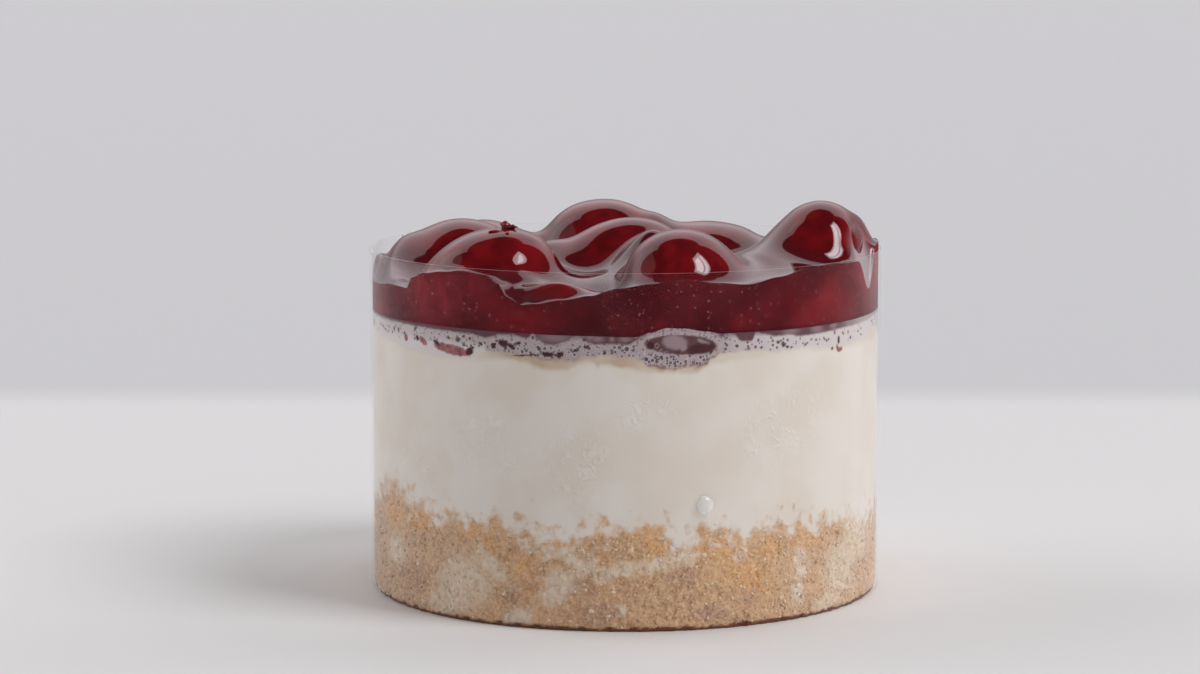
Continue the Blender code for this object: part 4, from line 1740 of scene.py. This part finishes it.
        marks = {
            "foam": foam * smooth_step(-0.5, 0.15, below),
            "crowd": np.clip(crowd, 0.0, 1.0),
            "dotted": np.maximum(dotted, 0.7 * (below > 1.8)) * (1.0 - 0.6 * lobe),
            "lobe": np.clip(lobe, 0.0, 1.0) * 0.95,
            "haze": haze * 0.95,
            "rind": np.clip(rind, 0.0, 1.0) * 0.95,
            "fruit": most(self.all_fruit(), azimuth, height + fine, 0.15) * 0.95,
            "wine": np.maximum(wine, 0.9 * shown),
            "stain": np.clip(stained * near_front * (0.95 + 0.6 * tint), 0.0, 1.0),
        }
        for name, values in marks.items():
            add_value(piece, name, values)

    @staticmethod
    def shrunk(spot: Spot) -> Spot:
        """The dark middle of a ring-shaped bubble."""
        return Spot(spot.azimuth, spot.height, 0.5 * spot.wide, 0.5 * spot.tall, spot.lean)

    def all_fruit(self) -> tuple[Spot, ...]:
        """The bits of fruit seen at the front, and others like them behind.

        Returns:
            The oval marks, front ones first.
        """
        draw = np.random.default_rng(21)
        found = list(self.fruit)
        for azimuth in np.linspace(84.0, 276.0, self.fruit_count_behind):
            found.append(
                Spot(
                    azimuth + draw.uniform(-5.0, 5.0),
                    draw.uniform(38.6, 40.6),
                    draw.uniform(0.4, 1.6),
                    draw.uniform(0.3, 0.6),
                    draw.uniform(-25.0, 25.0),
                )
            )
        return tuple(found)

    def build(self, effects: Effects) -> None:
        """Make the cream as one closed piece and dress it.

        Args:
            effects: The shader node groups that the finishes share.
        """
        azimuth = ring_azimuths(self.columns)
        foot = CRUMB_EDGE.at(azimuth)
        rings = self.rows(foot)
        wall = [rim_points(azimuth, RING.cake, ring) for ring in rings]
        shelf = rim_points(azimuth, RING.cake - RING.shelf_inset, RING.base_top)
        roof = rim_points(azimuth, RING.cake - self.roof_inset, rings[-1])
        points = np.vstack((shelf, *wall, roof))
        faces = capped_band(self.columns, len(rings) + 2)
        piece = add_piece("cream_body", points, faces, self.finish.make(effects))
        azimuths = azimuth_of(points[:, 0], points[:, 1])
        store_crumb(piece, azimuths, points[:, 2])
        cling = smooth_step(0.0, 0.5, noise_at(points, self.cling_size, seed=11.0))
        behind = smooth_step(*self.cling_from, azimuths)
        shown = most(self.creases, azimuths, points[:, 2], 0.6)
        add_value(piece, "cling", np.maximum(shown, cling * behind))
        self.froth(piece, points)
        piece.data.set_sharp_from_angle(angle=EDGE_ANGLE)
        settle(piece, Slot.CREAM, "cream_filling")


# The crumb base


@dataclass
class CrumbBase:
    """Pressed crumb with a worn foot, and grains that stand out of it."""

    columns: int = 960
    row_step: float = 0.27 * MM
    foot_inset: float = 0.30 * MM
    foot_rise: float = 1.6 * MM
    rough: float = 0.34 * MM
    calm: float = 1.6 * MM
    lump_size: float = 1.5 * MM
    grit_size: float = 0.55 * MM
    grain_count: int = 5200
    edge_grain_count: int = 1500
    edge_spread: float = 0.8 * MM
    small_grains: tuple[float, float] = (0.13 * MM, 0.34 * MM)
    large_grains: tuple[float, float] = (0.36 * MM, 0.60 * MM)
    large_share: float = 0.06
    grain_sink: tuple[float, float] = (0.55, 1.0)
    grain_stretch: tuple[float, float] = (0.6, 1.25)
    grain_squash: tuple[float, float] = (0.7, 1.0)
    grain_stand: float = 0.06 * MM
    floor_gap: float = 0.02 * MM
    finish: CrumbFinish = field(default_factory=CrumbFinish)
    grains: GrainFinish = field(default_factory=GrainFinish)

    def radius(self, points: np.ndarray, height: np.ndarray) -> np.ndarray:
        """Radius of the wall: drawn in at the foot and rough with grains.

        Args:
            points: Points of the smooth wall.
            height: Their heights.

        Returns:
            Radii in metres.
        """
        foot = np.maximum(0.0, 1.0 - height / self.foot_rise)
        lumps = noise_at(points, self.lump_size, seed=1.0)
        grit = noise_at(points, self.grit_size, seed=2.0)
        dip = np.clip(0.45 - 0.6 * lumps - 0.8 * grit, 0.0, 1.2) * self.grit(points, height)
        return RING.cake - self.foot_inset * foot * foot - self.rough * dip

    def grit(self, points: np.ndarray, height: np.ndarray) -> np.ndarray:
        """Roughness that dies away towards the ragged upper edge."""
        edge = CRUMB_EDGE.at(azimuth_of(points[:, 0], points[:, 1]))
        return smooth_step(0.0, self.calm, edge - height)

    def build_wall(self, effects: Effects) -> None:
        """Make and dress the pressed crumb as one closed piece.

        Args:
            effects: The shader node groups that the finishes share.
        """
        azimuth = ring_azimuths(self.columns)
        edge = CRUMB_EDGE.at(azimuth)
        count = int(RING.base_top / self.row_step)
        points = []
        for row in range(count + 1):
            height = edge * row / count
            smooth = rim_points(azimuth, RING.cake, height)
            radius = self.radius(smooth, height)
            points.append(rim_points(azimuth, radius, height))
        points.append(rim_points(azimuth, RING.cake - RING.shelf_inset, RING.base_top))
        points = np.vstack(points)
        faces = capped_band(self.columns, count + 2)
        piece = add_piece("crumb_body", points, faces, self.finish.make(effects))
        store_crumb(piece, azimuth_of(points[:, 0], points[:, 1]), points[:, 2])
        add_value(piece, "grit", self.grit(points, points[:, 2]))
        piece.data.set_sharp_from_angle(angle=EDGE_ANGLE)
        settle(piece, Slot.CRUMB, "crumb_base")

    def build_grains(self, effects: Effects) -> None:
        """Scatter crumb grains over the wall and along its ragged edges.

        Args:
            effects: The shader node groups that the finishes share.
        """
        draw = np.random.default_rng(5)
        template, triangles = twenty_sided()
        points, faces, tones = [], [], []
        for index in range(self.grain_count + self.edge_grain_count):
            azimuth = draw.uniform(0.0, 360.0)
            edge = float(CRUMB_EDGE.at(np.array([azimuth]))[0])
            size = draw.uniform(*self.small_grains)
            if draw.random() < self.large_share:
                size = draw.uniform(*self.large_grains)
            if index < self.grain_count:
                height = draw.uniform(0.02, 1.0) * edge
            else:
                height = edge + draw.normal(0.0, self.edge_spread)
            height = max(height, size * 0.95)
            foot = max(0.0, 1.0 - height / self.foot_rise)
            radius = RING.cake - self.foot_inset * foot * foot - size * draw.uniform(*self.grain_sink)
            turn = Euler(draw.uniform(0.0, FULL_TURN, 3)).to_matrix()
            shape = template * draw.uniform(*self.grain_stretch, (len(template), 1)) * size
            shape = shape @ np.array(turn) * (1.0, 1.0, draw.uniform(*self.grain_squash))
            centre = rim_points(np.array(azimuth), np.array(radius), np.array(height))
            start = len(points) * len(template)
            points.append(shape + centre)
            faces += [tuple(start + k for k in triangle) for triangle in triangles]
            tones += [draw.beta(2.2, 2.0)] * len(template)
        points = np.vstack(points)
        points[:, 2] = np.maximum(points[:, 2], self.floor_gap)
        out = np.hypot(points[:, 0], points[:, 1])
        points[:, :2] *= np.minimum(1.0, (RING.cake + self.grain_stand) / out)[:, None]
        piece = add_piece("crumb_grains", points, faces, self.grains.make(effects))
        store_crumb(piece, azimuth_of(points[:, 0], points[:, 1]), points[:, 2])
        add_value(piece, "tone", np.array(tones))
        settle(piece, Slot.CRUMB)

    def build(self, effects: Effects) -> None:
        """Make the wall and the grains."""
        self.build_wall(effects)
        self.build_grains(effects)


# The collar


@dataclass
class Collar:
    """One strip of clear film whose end laps over its start."""

    lap_azimuth: float = 225.0
    lap_angle: float = 18.0
    lap_ramp: float = 14.0
    lap_step: float = 0.4 * MM
    columns: int = 480
    corner_angle: float = math.radians(40.0)
    finish: FilmFinish = field(default_factory=FilmFinish)
    edge: FilmEdgeFinish = field(default_factory=FilmEdgeFinish)

    def build(self, effects: Effects) -> None:
        """Make and dress the strip.

        Args:
            effects: The shader node groups that the finishes share.
        """
        step = 360.0 / self.columns
        stations = int(round((360.0 + self.lap_angle) / step)) + 1
        turn = np.arange(stations) * step
        stand = self.lap_step * smooth_step(360.0 - self.lap_ramp, 360.0, turn)
        inner = RING.radius - RING.film + stand
        outer = inner + RING.film
        azimuth = self.lap_azimuth + turn
        corners = (
            (inner, RING.film_foot),
            (outer, RING.film_foot),
            (outer, RING.strip_height),
            (inner, RING.strip_height),
        )
        rings = [rim_points(azimuth, radius, height + 0.0 * turn) for radius, height in corners]
        points = np.stack(rings, axis=1).reshape(-1, 3)
        faces = [(0, 3, 2, 1)]
        edges = [1]
        for k in range(stations - 1):
            here, there = 4 * k, 4 * (k + 1)
            for a in range(4):
                b = (a + 1) % 4
                faces.append((here + a, here + b, there + b, there + a))
                edges.append(int(a == 2))
        end = 4 * (stations - 1)
        faces.append((end, end + 1, end + 2, end + 3))
        edges.append(1)
        finishes = (self.finish.make(effects), self.edge.make())
        piece = add_piece("collar_film", points, faces, *finishes)
        piece.data.polygons.foreach_set("material_index", edges)
        piece.data.set_sharp_from_angle(angle=self.corner_angle)
        settle(piece, Slot.FILM, "acetate_collar")


# The studio


@dataclass(frozen=True)
class Panel:
    """One soft panel of the studio: its place in degrees, its light and how it mirrors.

    Its sides and top fade over soft degrees, and its foot over rise degrees.
    """

    azimuth: float
    half_width: float
    low: float
    high: float
    soft: float
    rise: float
    light: float
    glint: float


@dataclass
class Studio:
    """Pale floor, soft light and the camera."""

    floor_half: float = 6.0
    tone_change: float = 0.19
    near: Colour = (0.78, 0.765, 0.775)
    far: Colour = (0.64, 0.63, 0.655)
    glint_tint: Colour = (1.0, 0.955, 1.0)
    dark: float = 0.05
    backdrop: Colour = (0.62, 0.61, 0.64)
    camera_place: tuple[float, float, float] = (-3.764 * MM, -535.18 * MM, 105.95 * MM)
    camera_pitch: float = -0.128
    lens: float = 108.11
    sensor: float = 36.0
    panels: tuple[Panel, ...] = (
        Panel(180.0, 72.0, -5.0, 60.0, 1.5, 2.0, 0.62, 0.0),
        Panel(187.0, 65.0, -5.0, 60.0, 1.5, 2.0, 0.0, 0.33),
        Panel(187.0, 65.0, 19.0, 60.0, 1.5, 22.0, 0.0, 1.15),
        Panel(-102.0, 26.0, 4.0, 52.0, 2.0, 2.0, 1.55, 0.40),
        Panel(122.0, 20.0, 8.0, 60.0, 2.0, 2.0, 1.2, 0.0),
        Panel(132.0, 10.0, 8.0, 60.0, 2.0, 2.0, 0.0, 0.15),
        Panel(66.0, 17.0, 34.0, 64.0, 1.5, 1.5, 7.2, 6.5),
        Panel(61.0, 8.0, 37.0, 61.0, 2.0, 12.0, 0.0, 9.0),
        Panel(76.0, 3.0, 36.0, 60.0, 2.0, 2.0, 0.0, 7.0),
        Panel(25.0, 55.0, 0.0, 42.0, 8.0, 8.0, 0.62, 0.0),
    )

    def add_floor(self) -> None:
        """Lay the floor, a shade darker beyond a soft line behind the cake."""
        half = self.floor_half
        points = np.array([(-half, -half, 0), (half, -half, 0), (half, half, 0), (-half, half, 0)])
        made, wiring, shader = new_material("Pale floor")
        place = wiring.node("ShaderNodeSeparateXYZ")
        wiring.feed(place.inputs[0], wiring.node("ShaderNodeTexCoord").outputs["Object"])
        beyond = wiring.ramp(place.outputs[1], self.tone_change - 0.015, self.tone_change + 0.02)
        wiring.feed(shader.inputs["Base Color"], wiring.mix(beyond, self.near, self.far))
        shader.inputs["Roughness"].default_value = 0.6
        shader.inputs["Specular IOR Level"].default_value = 0.2
        floor = add_piece("floor", points, [(0, 1, 2, 3)], made)

    def add_surroundings(self, effects: Effects) -> None:
        """Light the set: a pale wall behind, a panel at the left, a key at the right.

        Args:
            effects: The shader node groups that the finishes share.
        """
        world = bpy.data.worlds.new("Studio")
        bpy.context.scene.world = world
        world.use_nodes = True
        wiring = Wiring(world.node_tree)
        light_total = glint_total = self.dark
        for panel in self.panels:
            mask = wiring.group(
                effects.panel,
                Azimuth=panel.azimuth,
                Half_width=panel.half_width,
                Low=panel.low,
                High=panel.high,
                Soft=panel.soft,
                Rise=panel.rise,
            ).outputs["Mask"]
            light_total = wiring.math("ADD", light_total, wiring.math("MULTIPLY", mask, panel.light))
            glint_total = wiring.math("ADD", glint_total, wiring.math("MULTIPLY", mask, panel.glint))
        path = wiring.node("ShaderNodeLightPath")
        change = wiring.math("SUBTRACT", glint_total, light_total)
        change = wiring.math("MULTIPLY", change, path.outputs["Is Glossy Ray"])
        total = wiring.math("ADD", light_total, change)
        light = world.node_tree.nodes["Background"]
        pale = wiring.node("ShaderNodeBackground")
        pale.inputs["Color"].default_value = (*self.backdrop, 1.0)
        wiring.feed(light.inputs["Strength"], total)
        tint = wiring.mix(path.outputs["Is Glossy Ray"], (1.0, 1.0, 1.0), self.glint_tint)
        wiring.feed(light.inputs["Color"], tint)
        both = wiring.node("ShaderNodeMixShader")
        wiring.feed(both.inputs[0], path.outputs["Is Camera Ray"])
        wiring.feed(both.inputs[1], light.outputs[0])
        wiring.feed(both.inputs[2], pale.outputs[0])
        wiring.feed(world.node_tree.nodes["World Output"].inputs["Surface"], both.outputs[0])

    def add_camera(self) -> None:
        """Set the camera at the height, pitch and lens that the cake is seen with."""
        data = bpy.data.cameras.new("camera")
        data.sensor_width = self.sensor
        data.lens = self.lens
        data.clip_start = 0.01
        data.clip_end = 50.0
        camera = bpy.data.objects.new("camera", data)
        camera.location = self.camera_place
        camera.rotation_euler = (math.pi / 2.0 + self.camera_pitch, 0.0, 0.0)
        bpy.context.scene.collection.objects.link(camera)
        bpy.context.scene.camera = camera

    def build(self, effects: Effects) -> None:
        """Make the whole set.

        Args:
            effects: The shader node groups that the finishes share.
        """
        self.add_floor()
        self.add_surroundings(effects)
        self.add_camera()
        bpy.context.scene.view_settings.view_transform = "Standard"


def main() -> None:
    """Build the cake from its base upwards, then the studio round it."""
    logging.basicConfig(level=logging.INFO, format="%(message)s")
    effects = Effects()
    CrumbBase().build(effects)
    CreamLayer().build(effects)
    CherryTopping().build(effects)
    JellyLayer().build(effects)
    Collar().build(effects)
    Trimmings().build(effects)
    Studio().build(effects)


if __name__ == "__main__":
    main()
